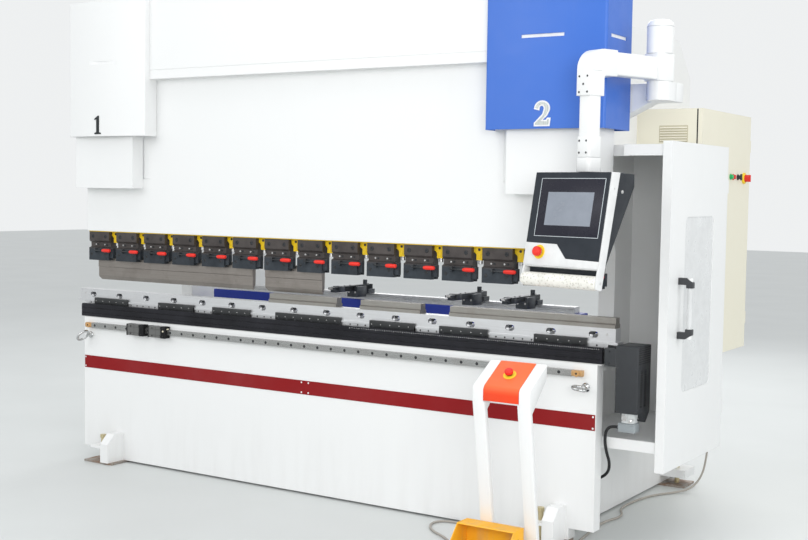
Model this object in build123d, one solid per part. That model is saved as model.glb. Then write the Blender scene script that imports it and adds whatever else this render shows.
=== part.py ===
from build123d import *
import math
import os

# Press brake with a hydraulic ram, a crowned table and a back gauge. Millimetres.
# X runs along the bed, +Y points to the back, Z is up from the floor.
# The origin is on the floor, under the middle of the bend line.

# Fits and gaps
SLIDE_GAP = 0.4
PIN_FIT = 0.06
SEAT_GAP = 0.3

# Floor plates and levelling bolts
PAD_T = 10
PAD_LENGTH = 210
PAD_WIDTH = 150
BOLT_INSET = 37
BOLT_Y = -128
BOLT_R = 12
BOLT_RISE = 55
BOLT_HEAD_R = 17
BOLT_HEAD_H = 17
PAD_UNDER_BOLT = 40

# Bed weldment
BED_OVERHANG = 178.5
BED_FRONT = -61
BED_PLATE = 65
BED_HEIGHT = 735
BED_END_LIFT = 50
BED_FOOT_REACH = 100
BED_RIB_T = 30
BED_REAR_GAP = 56
BED_REAR_PLATE = 30
BED_TOP_T = 30
SHELF_T = 12
SHELF_HEIGHT = 75
SHELF_REACH = 119
SHELF_IN = 45
SHELF_OUT = 40
FOOT_RIB_X = 30
FOOT_RIB_W = 55
FOOT_RIB_BEVEL = 50
BED_RIB_COUNT = 5
FOOT_RIB_RISE = 63

# Side frames
FRAME_INNER = 1277
FRAME_T = 80
FRAME_BACK = 1463
FRAME_TOP = 2284
FRAME_BEVEL = 180
JAW_FRONT = 125
JAW_BOTTOM = 1300
THROAT_BACK = 524
THROAT_R = 90
GUIDE_W = 54
GUIDE_H = 180
GUIDE_RISE = 95
TIE_H = 160
TIE_D = 120
TIE_Z = 300
REAR_FOOT_W = 134
REAR_FOOT_D = 142
REAR_FOOT_Y = 1180
REAR_FOOT_T = 40
REAR_FOOT_RISE = 40

# Table, crowning rail and dies
TABLE_OVERHANG = 30.5
TABLE_WIDTH = 56
TABLE_H = 87
CROWN_OVERHANG = 34
CROWN_H = 58
SOLE_T = 10
SOLE_OVERHANG = 11
SOLE_LIP = 5
SLOT_COUNT = 16
SLOT_PITCH = 200
SLOT_L = 46
SLOT_H = 27
SLOT_DROP = 30
BLOCK_T = 12
BLOCK_BEVEL = 3
BLOCK_LENGTH = 250
BLOCK_CENTRES = [-1356, -878, -498, -9, 484, 868, 1349]
CENTRE_BLOCK_LENGTH = 398
DIE_H = 45
DIE_BASE = 15
DIE_STEP = 6
DIE_HEAD = 40
DIE_V = 16
DIE_SPANS = [(-260, 154), (294, 632), (788, 1596)]

# Covered scale profile on the front of the table
COVER_SHORT = 12
COVER_FRONT = -62
COVER_BOTTOM = 5
COVER_H = 70
COVER_SHELF = 56
COVER_LIP = 21
GROOVE_TOPS = (50, 22)
GROOVE_H = 5
GROOVE_D = 4

# Crowning drive at the right end of the table
COUPLING_LENGTH = 50
COUPLING_H = 75
DRIVE_W = 100
DRIVE_DEPTH = 142
DRIVE_TOP = 865
DRIVE_BOTTOM = 583
DRIVE_TAIL = 45
DRIVE_BEVEL = 4
MOTOR_SETBACK = 46
MOTOR_R = 36
MOTOR_H = 43
PLUG_SHIFT = 4
PLUG_R = 8
PLUG_W = 78
PLUG_D = 56
PLUG_H = 41
GLAND_R = 11
GLAND_L = 12
CABLE_D = 13

# Stripe plates and front support rail
STRIPE_Z = 495
STRIPE_H = 68
STRIPE_T = 2
STRIPE_END = 4
RAIL_LEFT_INSET = 79.5
RAIL_RIGHT_INSET = 107.5
RAIL_Z = 721
RAIL_H = 28
RAIL_DEPTH = 26
RAIL_NECK = 4
RAIL_WAIST = (9, 13, 18, 22)
STOP_R = 8
STOP_L = 48
CARRIAGE_L = 121
CARRIAGE_H = 60
CARRIAGE_OUT = 45
CARRIAGE_LIFT = 6
CARRIAGE_BEVEL = 4
CARRIAGE_HOLE_R = 4
CARRIAGE_HOLE_DEPTH = 11
CARRIAGE_HOLES_X = 60
CARRIAGE_HOLES_Z = 40
CARRIAGE_CENTRES = [-1108, -952]
EYE_Z = 679
EYE_INSET = 49.5
EYE_RING_R = 32
EYE_WIRE_R = 6
EYE_NECK = 26
EYE_FLANGE = 8

# Ram
RAM_OVERHANG = 218
RAM_FRONT = -40
RAM_T = 60
RAM_OPEN = 323
RAM_SHOULDER = 287
RAM_NOTCH = 475
RAM_CENTRE_H = 827
ROD_SEAT_W = 180
ROD_SEAT_D = 120
ROD_SEAT_H = 100
ROD_SEAT_RISE = 60

# Punch holding rail and clamps
HOLD_SHORT = 9
HOLD_FRONT = -12
HOLD_BACK = 20
HOLD_H = 63
HOLD_BAND = 28
HOLD_TAB = 30
HOLD_BEVEL = 10
CLAMP_COUNT = 15
CLAMP_PITCH = 206.9
CLAMP_W = 151
CLAMP_FRONT = -36
JAW_OUT = -38
WAIST_OUT = -22
CLAMP_TOP = 4
CLAMP_BLOCK_BOTTOM = 57
CLAMP_BEVEL = 4
JAW_BEVEL = 6
CLAMP_WAIST_BOTTOM = 87
CLAMP_H = 161
CLAMP_BACK = 24
TANG_SLOT_W = 18
TANG_SLOT_H = 30
STEP_W = 24
STEP_T = 20
STEP_H = 55
STEP_RISE = 13

# Clamp levers
LEVER_X = -21
LEVER_OUT = 8
LEVER_Z = 106
LEVER_PIN_R = 3
LEVER_BOSS_R = 7
LEVER_BOSS_H = 9
EAR_T = 6
EAR_W = 16
EAR_OUT = 7
LEVER_BAR_BACK = 4
LEVER_BAR_FRONT = 5
LEVER_BAR_END = 6
GRIP_START = 45
GRIP_BEVEL = 2
GRIP_LENGTH = 59
GRIP_R = 9.5
GRIP_OFFSET = 11

# Punches
PUNCH_SPANS = [(-1477, -378), (-297, 57)]
PUNCH_H = 107
PUNCH_SHOULDER = 36
PUNCH_HALF = 13
PUNCH_TIP = 1
PUNCH_STEP = 3
PUNCH_FRONT_RISE = 22
PUNCH_BACK_RISE = 30
PUNCH_HORN = 15
TANG_H = 28

# Cylinders, rods and their covers
CYL_R = 110
CYL_BOTTOM = 1790
CYL_H = 480
CYL_FLANGE_HALF = 100
CYL_FLANGE_Y = 60
ROD_R = 60
ROD_IN_CYL = 300
BORE_EXTRA = 190
VALVE_W = 150
VALVE_H = 110
CYL_COVER_INSIDE = 304
CYL_COVER_OUTSIDE = 256
CYL_COVER_BOTTOM = 1764
CYL_COVER_TOP = 2480
CYL_COVER_FRONT = -133
CYL_COVER_BOW = 26
CYL_COVER_BACK = 128
COVER_SHEET = 3
COVER_CORNER = 12
VENT_W = 199
VENT_H = 14
VENT_Z = 2145
SIDE_VENT_Y0 = -88
SIDE_VENT_Y1 = 71
SIDE_VENT_DROP = 6
CUT_PAST = 400
ROD_COVER_INSIDE = 205
ROD_COVER_FRONT = -119
ROD_COVER_BACK = 47
ROD_COVER_BOTTOM = 1488
ROD_COVER_H = 400
TOP_COVER_FRONT = -96
TOP_COVER_BOTTOM = 2060
TOP_COVER_SEAM = 45
SEAM_W = 3

# Oil tank with its pump motor
TANK_Y = 760
TANK_D = 560
TANK_Z = 1780
TANK_H = 380
TANK_WALL = 6
PUMP_R = 95
PUMP_L = 330
PUMP_X = 420
PUMP_BLOCK = 180
PUMP_BEVEL = 8
PUMP_FOOT_H = 16
PUMP_FOOT_IN = 50
PUMP_FOOT_TOP = 40

# Side guard on the right
GUARD_FRONT = 8
GUARD_BACK = 722
GUARD_DRIVE_GAP = 58
GUARD_SHEET = 4
GUARD_FLOOR_Z = 416
GUARD_LIP = 47
GUARD_TOP_Z = 1703
GUARD_NOTCH_INSET = 175
GUARD_NOTCH_Y = 70
DOOR_T = 40
DOOR_BOTTOM = 338
DOOR_TOP = 1716
DOOR_FRONT = 0
DOOR_SHEET = 3
WINDOW_Y = 182
WINDOW_W = 358
WINDOW_Z = 655
WINDOW_H = 747
WINDOW_R = 30
PANE_T = 4
PANE_EDGE = 20
HANDLE_Y = 123
HANDLE_LOW = 907
HANDLE_HIGH = 1135
HANDLE_OUT = 60
HANDLE_R = 11
HANDLE_PAST = 14
BRACKET_W = 18
BRACKET_H = 26
DOOR_HINGE_INSET = 150
HINGE_PIN_R = 5
HINGE_R = 9
HINGE_L = 60
KNUCKLE_L = 16
KNUCKLE_GAP = 4
LEAF_REACH = 40
LEAF_T = 3

# Electrical cabinet
CAB_W = 300
CAB_FRONT = 745
CAB_GLAND_INSET = 57
CAB_GLAND_Y = 1200
CAB_GLAND_R = 12
CAB_GLAND_L = 24
CAB_BACK = 1484
CAB_Z = 719
CAB_H = 1181
CAB_SHEET = 3
CAB_DOOR_T = 22
CAB_HINGE_INSET = 120
CAB_PANEL_T = 12
CAB_PANEL_EDGE = 60
DEVICE_ROWS = (160, 460, 800)
DEVICE_COLUMNS = (110, 290, 470)
DEVICE_W = 130
DEVICE_H = 180
DEVICE_DEPTH = 60
DEVICE_STEP = 25
LOUVRE_OFFSET = 116
LOUVRE_W = 134
LOUVRE_DROP = 150
LOUVRE_COUNT = 6
LOUVRE_PITCH = 12
LOUVRE_H = 5
LOCK_DROP = 200
LOCK_INSET = 50
LOCK_R = 14
LOCK_H = 8
ESTOP_INSET = 155
ESTOP_DROP = 260
ESTOP_PLATE = 68

# Swivel arm
PIVOT_INSET = 53
PIVOT_Y = 72
ARM_BRACKET_Y = 135
ARM_BRACKET_D = 95
ARM_BRACKET_Z = 1885
ARM_BRACKET_H = 79
ARM_BRACKET_R = 40
ARM_BRACKET_DROP = 120
ARM_BRACKET_ROOT = 60
ARM_SPIGOT_L = 60
ARM_ROOT_H = 113
ARM_DRUM_R = 61.5
ARM_DRUM_H = 113
ARM_DOME_H = 27
ARM_TUBE_W = 70
ARM_TUBE_H = 88
ARM_REACH = 413
ARM_TURN = 20
ARM_ELBOW_H = 186
ARM_SLEEVE_W = 84
ARM_POST_W = 69
ARM_POST_BOTTOM = 1580
ARM_COLLAR_Z = 1639
ARM_COLLAR_H = 83
ARM_SPIGOT_R = 20
ARM_ROOT_R = 25
ARM_ELBOW_R = 40
ARM_SLEEVE_R = 12
ARM_POST_R = 14
ARM_COLLAR_R = 16
ARM_TUBE_RISE = 12
SLEEVE_LAP = 10

# Control pendant
PENDANT_W = 420
PENDANT_H = 378
PENDANT_TOP = 1578
PENDANT_TURN = 14
PENDANT_LEAN = 11
PENDANT_SIDE_T = 12
PENDANT_SIDE_D = 43
PENDANT_FRAME = 6
SIDE_LIP = 4
SIDE_LIP_LOW = 2
PENDANT_SHOE = 67
SHOE_TOP = 40
SHOE_LOW = 60
PENDANT_NECK_L = 50
PENDANT_ESTOP_X = 62
PENDANT_ESTOP_Z = 55
PENDANT_OFFSET = 82
PENDANT_NECK_R = 34
ROLLER_R = 35
ROLLER_CORE_R = 25
ROLLER_Z = 1147
BUTTON_R = 20
BUTTON_H = 18
BUTTON_STEM_R = 11
BUTTON_STEM_L = 14
BUTTON_EDGE_R = 5
BUTTON_TRAVEL = 5
COLLAR_R = 30
COLLAR_H = 4

# Foot console and pedal
STAND_LEFT = 1280
STAND_W = 249
STAND_COLUMN = 53
STAND_DEPTH = 110
STAND_TOP = 829
STAND_TOP_Y = -528
STAND_FRONT_Y = -674
STAND_KNEE_Z = 683
STAND_RAKE = 115
STAND_FOOT_DEPTH = 66
STAND_BACK_LIP = 60
HEAD_SLOPE = 31
HEAD_R = 28
HEAD_STEPS = 5
STAND_PANEL_H = 160
CONSOLE_OVERHANG = 6
CONSOLE_SHEET = 3
CONSOLE_STEP = 1
CONSOLE_LIP_Z = 687
CONSOLE_LIP_LAP = 18
CONSOLE_BUTTON_Y = -601
CONSOLE_BUTTON_R = 17
CONSOLE_COLLAR_R = 26
PEDAL_LEFT = 1221
PEDAL_W = 254
PEDAL_BACK = -592
PEDAL_DEPTH = 215
PEDAL_ROOF = 80
PEDAL_H = 190
PEDAL_SHEET = 4
PEDAL_PLATE = 12
PEDAL_PIN_R = 5
PEDAL_FRONT_H = 40
PEDAL_AXLE_Y = 30
PEDAL_AXLE_Z = 34
PEDAL_GLAND_Y = 40
PEDAL_GLAND_Z = 20
PEDAL_GLAND_R = 9
PEDAL_GLAND_L = 16
TREAD_W = 150
TREAD_L = 120
TREAD_T = 12
TREAD_UP = 10
TREAD_RISE = 16
TREAD_UNDER = 6
TREAD_HUB_R = 10

# Back gauge
GAUGE_Y = 572
GAUGE_D = 120
GAUGE_TOP = 915
GAUGE_H = 110
GAUGE_END_GAP = 127
GAUGE_RAIL_H = 34
GAUGE_RAIL_D = 60
GAUGE_BRACKET_W = 97
GAUGE_BRACKET_FRONT = 360
GAUGE_BRACKET_L = 900
GAUGE_BRACKET_H = 90
GAUGE_BRACKET_SLOPE = 60
TRACK_IN = 20
TRACK_W = 28
TRACK_H = 20
GAUGE_TIE_D = 80
BEAM_R = 6
SHOE_LAP = 10
SHOE_GAP = 22
SHOE_H = 40
GAUGE_RAIL_INSET = 20
GAUGE_RAIL_Y = 8
RAIL_GROOVE = (12, 15, 20, 23)
RAIL_GROOVE_D = 4
FINGER_CENTRES = [-100, 600, 900]
FINGER_W = 34
FINGER_L = 350
FINGER_T = 25
FINGER_TIP_Y = 280
FINGER_BLOCK_W = 70
FINGER_RISE = 22
FINGER_NOSE = 90
FINGER_NOSE_UP = 12
FINGER_NOSE_DOWN = 2
FINGER_BLOCK_OVER = 6
FINGER_BLOCK_SHORT = 8
FINGER_FOOT_L = 50
FINGER_FOOT_LAP = 5
FINGER_FOOT_DROP = 4
KNOB_Y = 40
KNOB_R = 11
KNOB_H = 24

# Sizes that follow from the ones above
FRAME_OUT = FRAME_INNER + FRAME_T
CYL_X = FRAME_INNER + FRAME_T / 2
BED_LENGTH = 2 * (FRAME_OUT + BED_OVERHANG)
BOLT_X = FRAME_OUT - BOLT_INSET
RAIL_LEFT = -BED_LENGTH / 2 + RAIL_LEFT_INSET
RAIL_RIGHT = BED_LENGTH / 2 - RAIL_RIGHT_INSET
EYE_X = BED_LENGTH / 2 - EYE_INSET
TABLE_LENGTH = BED_LENGTH + 2 * TABLE_OVERHANG
CROWN_LENGTH = TABLE_LENGTH + 2 * CROWN_OVERHANG
SOLE_LENGTH = CROWN_LENGTH + 2 * SOLE_OVERHANG
COVER_LENGTH = TABLE_LENGTH - 2 * COVER_SHORT
RAM_LENGTH = 2 * (CYL_X + RAM_OVERHANG)
RAM_CENTRE_HALF = RAM_LENGTH / 2 - RAM_NOTCH
HOLD_LENGTH = RAM_LENGTH - 2 * HOLD_SHORT
CYL_COVER_IN = CYL_X - CYL_COVER_INSIDE
CYL_COVER_OUT = CYL_X + CYL_COVER_OUTSIDE
ROD_COVER_IN = CYL_X - ROD_COVER_INSIDE
DRIVE_LEFT = TABLE_LENGTH / 2 + COUPLING_LENGTH
GUARD_OUT = DRIVE_LEFT + DRIVE_W + GUARD_DRIVE_GAP + 1
GUARD_NOTCH_X = GUARD_OUT - GUARD_NOTCH_INSET
PIVOT_X = GUARD_OUT - PIVOT_INSET
CAB_OUT = FRAME_OUT + CAB_W
LOUVRE_X = FRAME_OUT + LOUVRE_OFFSET
GAUGE_HALF = FRAME_INNER - GAUGE_END_GAP
BED_Z0 = PAD_T
BED_Z1 = BED_Z0 + BED_HEIGHT
BED_BACK = BED_FRONT + BED_PLATE
TABLE_Z0 = BED_Z1 + BED_TOP_T
TABLE_Z1 = TABLE_Z0 + TABLE_H
CROWN_Z0 = TABLE_Z1 + SOLE_T
CROWN_Z1 = CROWN_Z0 + CROWN_H
TABLE_HALF_Y = TABLE_WIDTH / 2
RAM_Z0 = CROWN_Z1 + RAM_OPEN
RAM_BACK = RAM_FRONT + RAM_T
SHOULDER_Z = RAM_Z0 + RAM_SHOULDER
ROD_Z0 = SHOULDER_Z + ROD_SEAT_RISE
CLAMP_Z0 = RAM_Z0 - CLAMP_H
LEVER_AXIS_Z = RAM_Z0 - LEVER_Z
LEVER_AXIS_Y = JAW_OUT - LEVER_OUT
RAIL_BACK = BED_FRONT
RAIL_FRONT = BED_FRONT - RAIL_DEPTH
DOOR_OUT = GUARD_OUT + DOOR_T
DOOR_AXIS_X = GUARD_OUT + DOOR_T / 2
DOOR_AXIS_Y = GUARD_BACK + HINGE_R + SEAT_GAP
CAB_TOP = CAB_Z + CAB_H
LOUVRE_Z = CAB_TOP - LOUVRE_DROP
LOCK_Z = CAB_TOP - LOCK_DROP
ESTOP_Z = CAB_TOP - ESTOP_DROP
ESTOP_Y = CAB_FRONT + ESTOP_INSET
CAB_DOOR_X = CAB_OUT + SEAT_GAP
CAB_FACE = CAB_DOOR_X + CAB_DOOR_T
CAB_AXIS_Y = CAB_BACK + HINGE_R
ARM_Z0 = ARM_BRACKET_Z + ARM_BRACKET_H
ARM_TUBE_Z = ARM_Z0 + SEAT_GAP + ARM_TUBE_H / 2 + ARM_TUBE_RISE
PENDANT_AXIS = (
    PIVOT_X - ARM_REACH * math.sin(math.radians(ARM_TURN)),
    PIVOT_Y - ARM_REACH * math.cos(math.radians(ARM_TURN)),
)
STAND_RIGHT = STAND_LEFT + STAND_W
GAUGE_BACK = GAUGE_Y + GAUGE_D
FINGER_Z0 = GAUGE_TOP + SEAT_GAP + GAUGE_RAIL_H + SEAT_GAP


# Shape helpers
def block(x0, x1, y0, y1, z0, z1):
    """A rectangular block between two corners."""
    centre = Pos((x0 + x1) / 2, (y0 + y1) / 2, (z0 + z1) / 2)
    return centre * Box(x1 - x0, y1 - y0, z1 - z0)


def post(x, y, z0, z1, radius):
    """An upright round bar."""
    return Pos(x, y, (z0 + z1) / 2) * Cylinder(radius, z1 - z0)


def bar_x(x0, x1, y, z, radius):
    """A round bar along X."""
    return Pos((x0 + x1) / 2, y, z) * Rot(0, 90, 0) * Cylinder(radius, x1 - x0)


def bar_y(x, y0, y1, z, radius):
    """A round bar along Y."""
    return Pos(x, (y0 + y1) / 2, z) * Rot(90, 0, 0) * Cylinder(radius, y1 - y0)


def along_x(outline, x0, x1):
    """A (Y, Z) outline pushed along X."""
    face = Plane.YZ * make_face(Polyline(*outline, close=True))
    return Pos(x0, 0, 0) * extrude(face, amount=x1 - x0, dir=(1, 0, 0))


def along_y(outline, y0, y1):
    """An (X, Z) outline pushed along Y."""
    face = Plane.XZ * make_face(Polyline(*outline, close=True))
    return Pos(0, y0, 0) * extrude(face, amount=y1 - y0, dir=(0, 1, 0))


def along_z(outline, z0, z1):
    """An (X, Y) outline pushed upwards."""
    face = make_face(Polyline(*outline, close=True))
    return Pos(0, 0, z0) * extrude(face, amount=z1 - z0, dir=(0, 0, 1))


def both_sides(shape):
    """A piece and its mirror image across the middle of the bed."""
    return [shape, mirror(shape, about=Plane.YZ)]


def hexagon(x, y, z0, z1, radius):
    """An upright hexagonal bar."""
    face = RegularPolygon(radius, 6)
    return Pos(x, y, z0) * extrude(face, amount=z1 - z0, dir=(0, 0, 1))


def save(name, shapes):
    """Writes one node, as one solid or as a group of separate ones."""
    pieces = []
    for shape in shapes if isinstance(shapes, list) else [shapes]:
        pieces += list(shape.solids())
    compound = pieces[0] if len(pieces) == 1 else Compound(children=pieces)
    compound.label = name
    export_step(compound, f"parts/{name}.step")


# Frame and bed
def side_frames():
    """Two C-shaped side plates with ram guides, and the tie between them."""
    outline = [
        (BED_BACK, BED_Z0),
        (FRAME_BACK, BED_Z0),
        (FRAME_BACK, FRAME_TOP - FRAME_BEVEL),
        (FRAME_BACK - FRAME_BEVEL, FRAME_TOP),
        (JAW_FRONT, FRAME_TOP),
        (JAW_FRONT, JAW_BOTTOM),
        (THROAT_BACK, JAW_BOTTOM),
        (THROAT_BACK, BED_Z1),
        (BED_BACK, BED_Z1),
    ]
    plate = along_x(outline, FRAME_INNER, FRAME_OUT)
    throat = plate.edges().filter_by(Axis.X).filter_by_position(Axis.Y, THROAT_BACK - 1, THROAT_BACK + 1)
    plate = fillet(throat, THROAT_R)
    guide = block(
        CYL_X - GUIDE_W / 2,
        CYL_X + GUIDE_W / 2,
        RAM_BACK + SLIDE_GAP,
        JAW_FRONT,
        JAW_BOTTOM + GUIDE_RISE,
        JAW_BOTTOM + GUIDE_RISE + GUIDE_H,
    )
    foot = block(
        FRAME_OUT,
        FRAME_OUT + REAR_FOOT_W,
        REAR_FOOT_Y,
        REAR_FOOT_Y + REAR_FOOT_D,
        PAD_T + REAR_FOOT_RISE,
        PAD_T + REAR_FOOT_RISE + REAR_FOOT_T,
    )
    foot -= post(rear_bolt_x(), rear_bolt_y(), 0, TIE_Z, BOLT_R + SEAT_GAP)
    frame = plate + guide + foot
    tie = block(
        -FRAME_INNER,
        FRAME_INNER,
        FRAME_BACK - TIE_D,
        FRAME_BACK,
        TIE_Z,
        TIE_Z + TIE_H,
    )
    return both_sides(frame) + [tie]


def rear_bolt_x():
    """Where the rear levelling bolt stands, outside the frame."""
    return FRAME_OUT + REAR_FOOT_W / 2


def rear_bolt_y():
    """The rear levelling bolt is in the middle of its foot."""
    return REAR_FOOT_Y + REAR_FOOT_D / 2


def foot_shelf():
    """A front foot: a shelf for the bolt and the rib that carries it."""
    shelf = block(
        BOLT_X - SHELF_IN,
        BOLT_X + SHELF_OUT,
        BED_FRONT - SHELF_REACH,
        BED_FRONT,
        BED_Z0 + SHELF_HEIGHT,
        BED_Z0 + SHELF_HEIGHT + SHELF_T,
    )
    shelf -= post(BOLT_X, BOLT_Y, 0, TIE_Z, BOLT_R + SEAT_GAP)
    rib_top = BED_Z0 + SHELF_HEIGHT + SHELF_T + FOOT_RIB_RISE
    rib_outline = [
        (BED_FRONT, BED_Z0),
        (BED_FRONT, rib_top),
        (BED_FRONT - SHELF_REACH + FOOT_RIB_BEVEL, rib_top),
        (BED_FRONT - SHELF_REACH, rib_top - FOOT_RIB_BEVEL),
        (BED_FRONT - SHELF_REACH, BED_Z0),
    ]
    rib = along_x(rib_outline, BOLT_X + FOOT_RIB_X, BOLT_X + FOOT_RIB_X + FOOT_RIB_W)
    return shelf + rib


def bed():
    """Front and rear plates under one top plate, with ribs and front feet."""
    half = BED_LENGTH / 2
    foot_end = BOLT_X + BED_FOOT_REACH
    front_outline = [
        (-half, BED_Z0 + BED_END_LIFT),
        (-foot_end, BED_Z0 + BED_END_LIFT),
        (-foot_end, BED_Z0),
        (foot_end, BED_Z0),
        (foot_end, BED_Z0 + BED_END_LIFT),
        (half, BED_Z0 + BED_END_LIFT),
        (half, BED_Z1),
        (-half, BED_Z1),
    ]
    shape = along_y(front_outline, BED_FRONT, BED_BACK)
    rear_y = BED_BACK + BED_REAR_GAP
    inner = FRAME_INNER
    shape += block(-inner, inner, rear_y, rear_y + BED_REAR_PLATE, BED_Z0, BED_Z1)
    shape += block(-half, half, BED_FRONT, rear_y + BED_REAR_PLATE, BED_Z1, TABLE_Z0)
    for index in range(BED_RIB_COUNT):
        x = -inner + (2 * inner - BED_RIB_T) * index / (BED_RIB_COUNT - 1)
        shape += block(x, x + BED_RIB_T, BED_BACK, rear_y, BED_Z0, BED_Z1)
    foot = foot_shelf()
    step = 2 * BOLT_X
    return shape + foot + Pos(-step, 0, 0) * foot


def levelling_bolt(x, y, shelf_z):
    """A zinc levelling bolt with its head up, standing on a floor plate."""
    top = shelf_z + BOLT_RISE
    return post(x, y, PAD_T, top, BOLT_R) + hexagon(x, y, top - BOLT_HEAD_H, top, BOLT_HEAD_R)


def floor_plate(x, y):
    """A flat steel plate under a foot."""
    return block(
        x - PAD_LENGTH / 2, x + PAD_LENGTH / 2, y - PAD_WIDTH / 2, y + PAD_WIDTH / 2, 0, PAD_T
    )


def levelling_feet():
    """Four bolts and four floor plates."""
    pieces = []
    shelf_z = BED_Z0 + SHELF_HEIGHT + SHELF_T
    plate_y = min(BED_BACK - PAD_WIDTH / 2, BOLT_Y + PAD_WIDTH / 2 - PAD_UNDER_BOLT)
    rear_shelf_z = PAD_T + REAR_FOOT_RISE + REAR_FOOT_T
    for side in (-1, 1):
        pieces.append(levelling_bolt(side * BOLT_X, BOLT_Y, shelf_z))
        pieces.append(floor_plate(side * BOLT_X, plate_y))
        pieces.append(levelling_bolt(side * rear_bolt_x(), rear_bolt_y(), rear_shelf_z))
        pieces.append(floor_plate(side * (rear_bolt_x() - PAD_UNDER_BOLT), rear_bolt_y()))
    return pieces


def stripe_plates():
    """Two thin plates that meet in the middle of the bed front."""
    end = BED_LENGTH / 2 - STRIPE_END
    joint = -STRIPE_T
    pieces = []
    for x0, x1 in ((-end, joint), (joint + SEAT_GAP, end)):
        pieces.append(block(x0, x1, BED_FRONT - STRIPE_T, BED_FRONT, STRIPE_Z, STRIPE_Z + STRIPE_H))
    return pieces


def linear_rail():
    """The profiled rail for the front supports, with its end stops."""
    top = RAIL_Z + RAIL_H
    lip, neck, far_neck, far_lip = [RAIL_BACK - step for step in RAIL_WAIST]
    outline = [
        (RAIL_BACK, RAIL_Z),
        (RAIL_BACK, top),
        (lip, top),
        (neck, top - RAIL_NECK),
        (far_neck, top - RAIL_NECK),
        (far_lip, top),
        (RAIL_FRONT, top),
        (RAIL_FRONT, RAIL_Z),
        (far_lip, RAIL_Z),
        (far_neck, RAIL_Z + RAIL_NECK),
        (neck, RAIL_Z + RAIL_NECK),
        (lip, RAIL_Z),
    ]
    rail = along_x(outline, RAIL_LEFT, RAIL_RIGHT)
    pieces = [rail]
    for x0 in (RAIL_LEFT - STOP_L, RAIL_RIGHT):
        stop = block(x0, x0 + STOP_L, RAIL_FRONT, RAIL_BACK, RAIL_Z + 1, top - 1)
        edges = stop.edges().filter_by(Axis.X).group_by(Axis.Y)[0]
        stop = fillet(edges, STOP_R)
        pieces.append(stop)
    return pieces


def rail_carriage(centre):
    """A runner block that wraps the rail."""
    z0 = RAIL_Z + RAIL_H / 2 - CARRIAGE_H / 2
    x0 = centre - CARRIAGE_L / 2
    front = BED_FRONT - CARRIAGE_OUT
    shape = block(x0, x0 + CARRIAGE_L, front, BED_FRONT - CARRIAGE_LIFT, z0, z0 + CARRIAGE_H)
    edges = shape.edges().filter_by(Axis.X).group_by(Axis.Y)[0]
    shape = chamfer(edges, CARRIAGE_BEVEL)
    for dx in (-CARRIAGE_HOLES_X / 2, CARRIAGE_HOLES_X / 2):
        for dz in (-CARRIAGE_HOLES_Z / 2, CARRIAGE_HOLES_Z / 2):
            hole_z = RAIL_Z + RAIL_H / 2 + dz
            shape -= bar_y(centre + dx, front - 1, front + CARRIAGE_HOLE_DEPTH, hole_z, CARRIAGE_HOLE_R)
    return shape - block(
        x0 - 1,
        x0 + CARRIAGE_L + 1,
        RAIL_FRONT - SLIDE_GAP,
        BED_FRONT,
        RAIL_Z - SLIDE_GAP,
        RAIL_Z + RAIL_H + SLIDE_GAP,
    )


def eye_bolts():
    """Lifting eyes screwed into the bed front near its ends."""
    ring_y = BED_FRONT - EYE_NECK - EYE_RING_R
    neck_y = BED_FRONT - EYE_NECK - EYE_WIRE_R / 2
    eye = Pos(EYE_X, ring_y, EYE_Z) * Torus(EYE_RING_R, EYE_WIRE_R)
    eye += bar_y(EYE_X, neck_y, BED_FRONT - EYE_FLANGE + 2, EYE_Z, EYE_WIRE_R - 1)
    eye += bar_y(EYE_X, BED_FRONT - EYE_FLANGE, BED_FRONT, EYE_Z, EYE_WIRE_R * 2)
    return both_sides(eye)


# Table and crowning
def table_base():
    """The bar that carries the crowning rail."""
    half = TABLE_LENGTH / 2
    return block(-half, half, -TABLE_HALF_Y, TABLE_HALF_Y, TABLE_Z0, TABLE_Z1)


def oval(x, z, length, height, y0, y1):
    """A long hole through the table, along Y."""
    face = Plane.XZ * Pos(x, z) * SlotOverall(length, height)
    return Pos(0, y0, 0) * extrude(face, amount=y1 - y0, dir=(0, 1, 0))


def crowning_rail():
    """The upper table bar with its row of adjusting slots."""
    half = CROWN_LENGTH / 2
    sole = SOLE_LENGTH / 2
    shape = block(-half, half, -TABLE_HALF_Y, TABLE_HALF_Y, CROWN_Z0, CROWN_Z1)
    shape += block(
        -sole, sole, -TABLE_HALF_Y - SOLE_LIP, TABLE_HALF_Y + SOLE_LIP, TABLE_Z1, CROWN_Z0
    )
    slot_z = CROWN_Z1 - SLOT_DROP
    first = -SLOT_PITCH * (SLOT_COUNT - 1) / 2
    for index in range(SLOT_COUNT):
        x = first + SLOT_PITCH * index
        shape -= oval(x, slot_z, SLOT_L, SLOT_H, -TABLE_WIDTH, TABLE_WIDTH)
    return shape


def die_clamp_blocks():
    """Black clamping strips on the front of the table, hooked over its sole."""
    front = -TABLE_HALF_Y - BLOCK_T
    outline = [
        (front, TABLE_Z0 + COVER_BOTTOM + COVER_SHELF),
        (-TABLE_HALF_Y, TABLE_Z0 + COVER_BOTTOM + COVER_SHELF),
        (-TABLE_HALF_Y, TABLE_Z1),
        (-TABLE_HALF_Y - SOLE_LIP, TABLE_Z1),
        (-TABLE_HALF_Y - SOLE_LIP, CROWN_Z0),
        (front + BLOCK_BEVEL, CROWN_Z0),
        (front, CROWN_Z0 - BLOCK_BEVEL),
    ]
    pieces = []
    for index, centre in enumerate(BLOCK_CENTRES):
        is_middle = index == len(BLOCK_CENTRES) // 2
        half = (CENTRE_BLOCK_LENGTH if is_middle else BLOCK_LENGTH) / 2
        pieces.append(along_x(outline, centre - half, centre + half))
    return pieces


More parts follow.
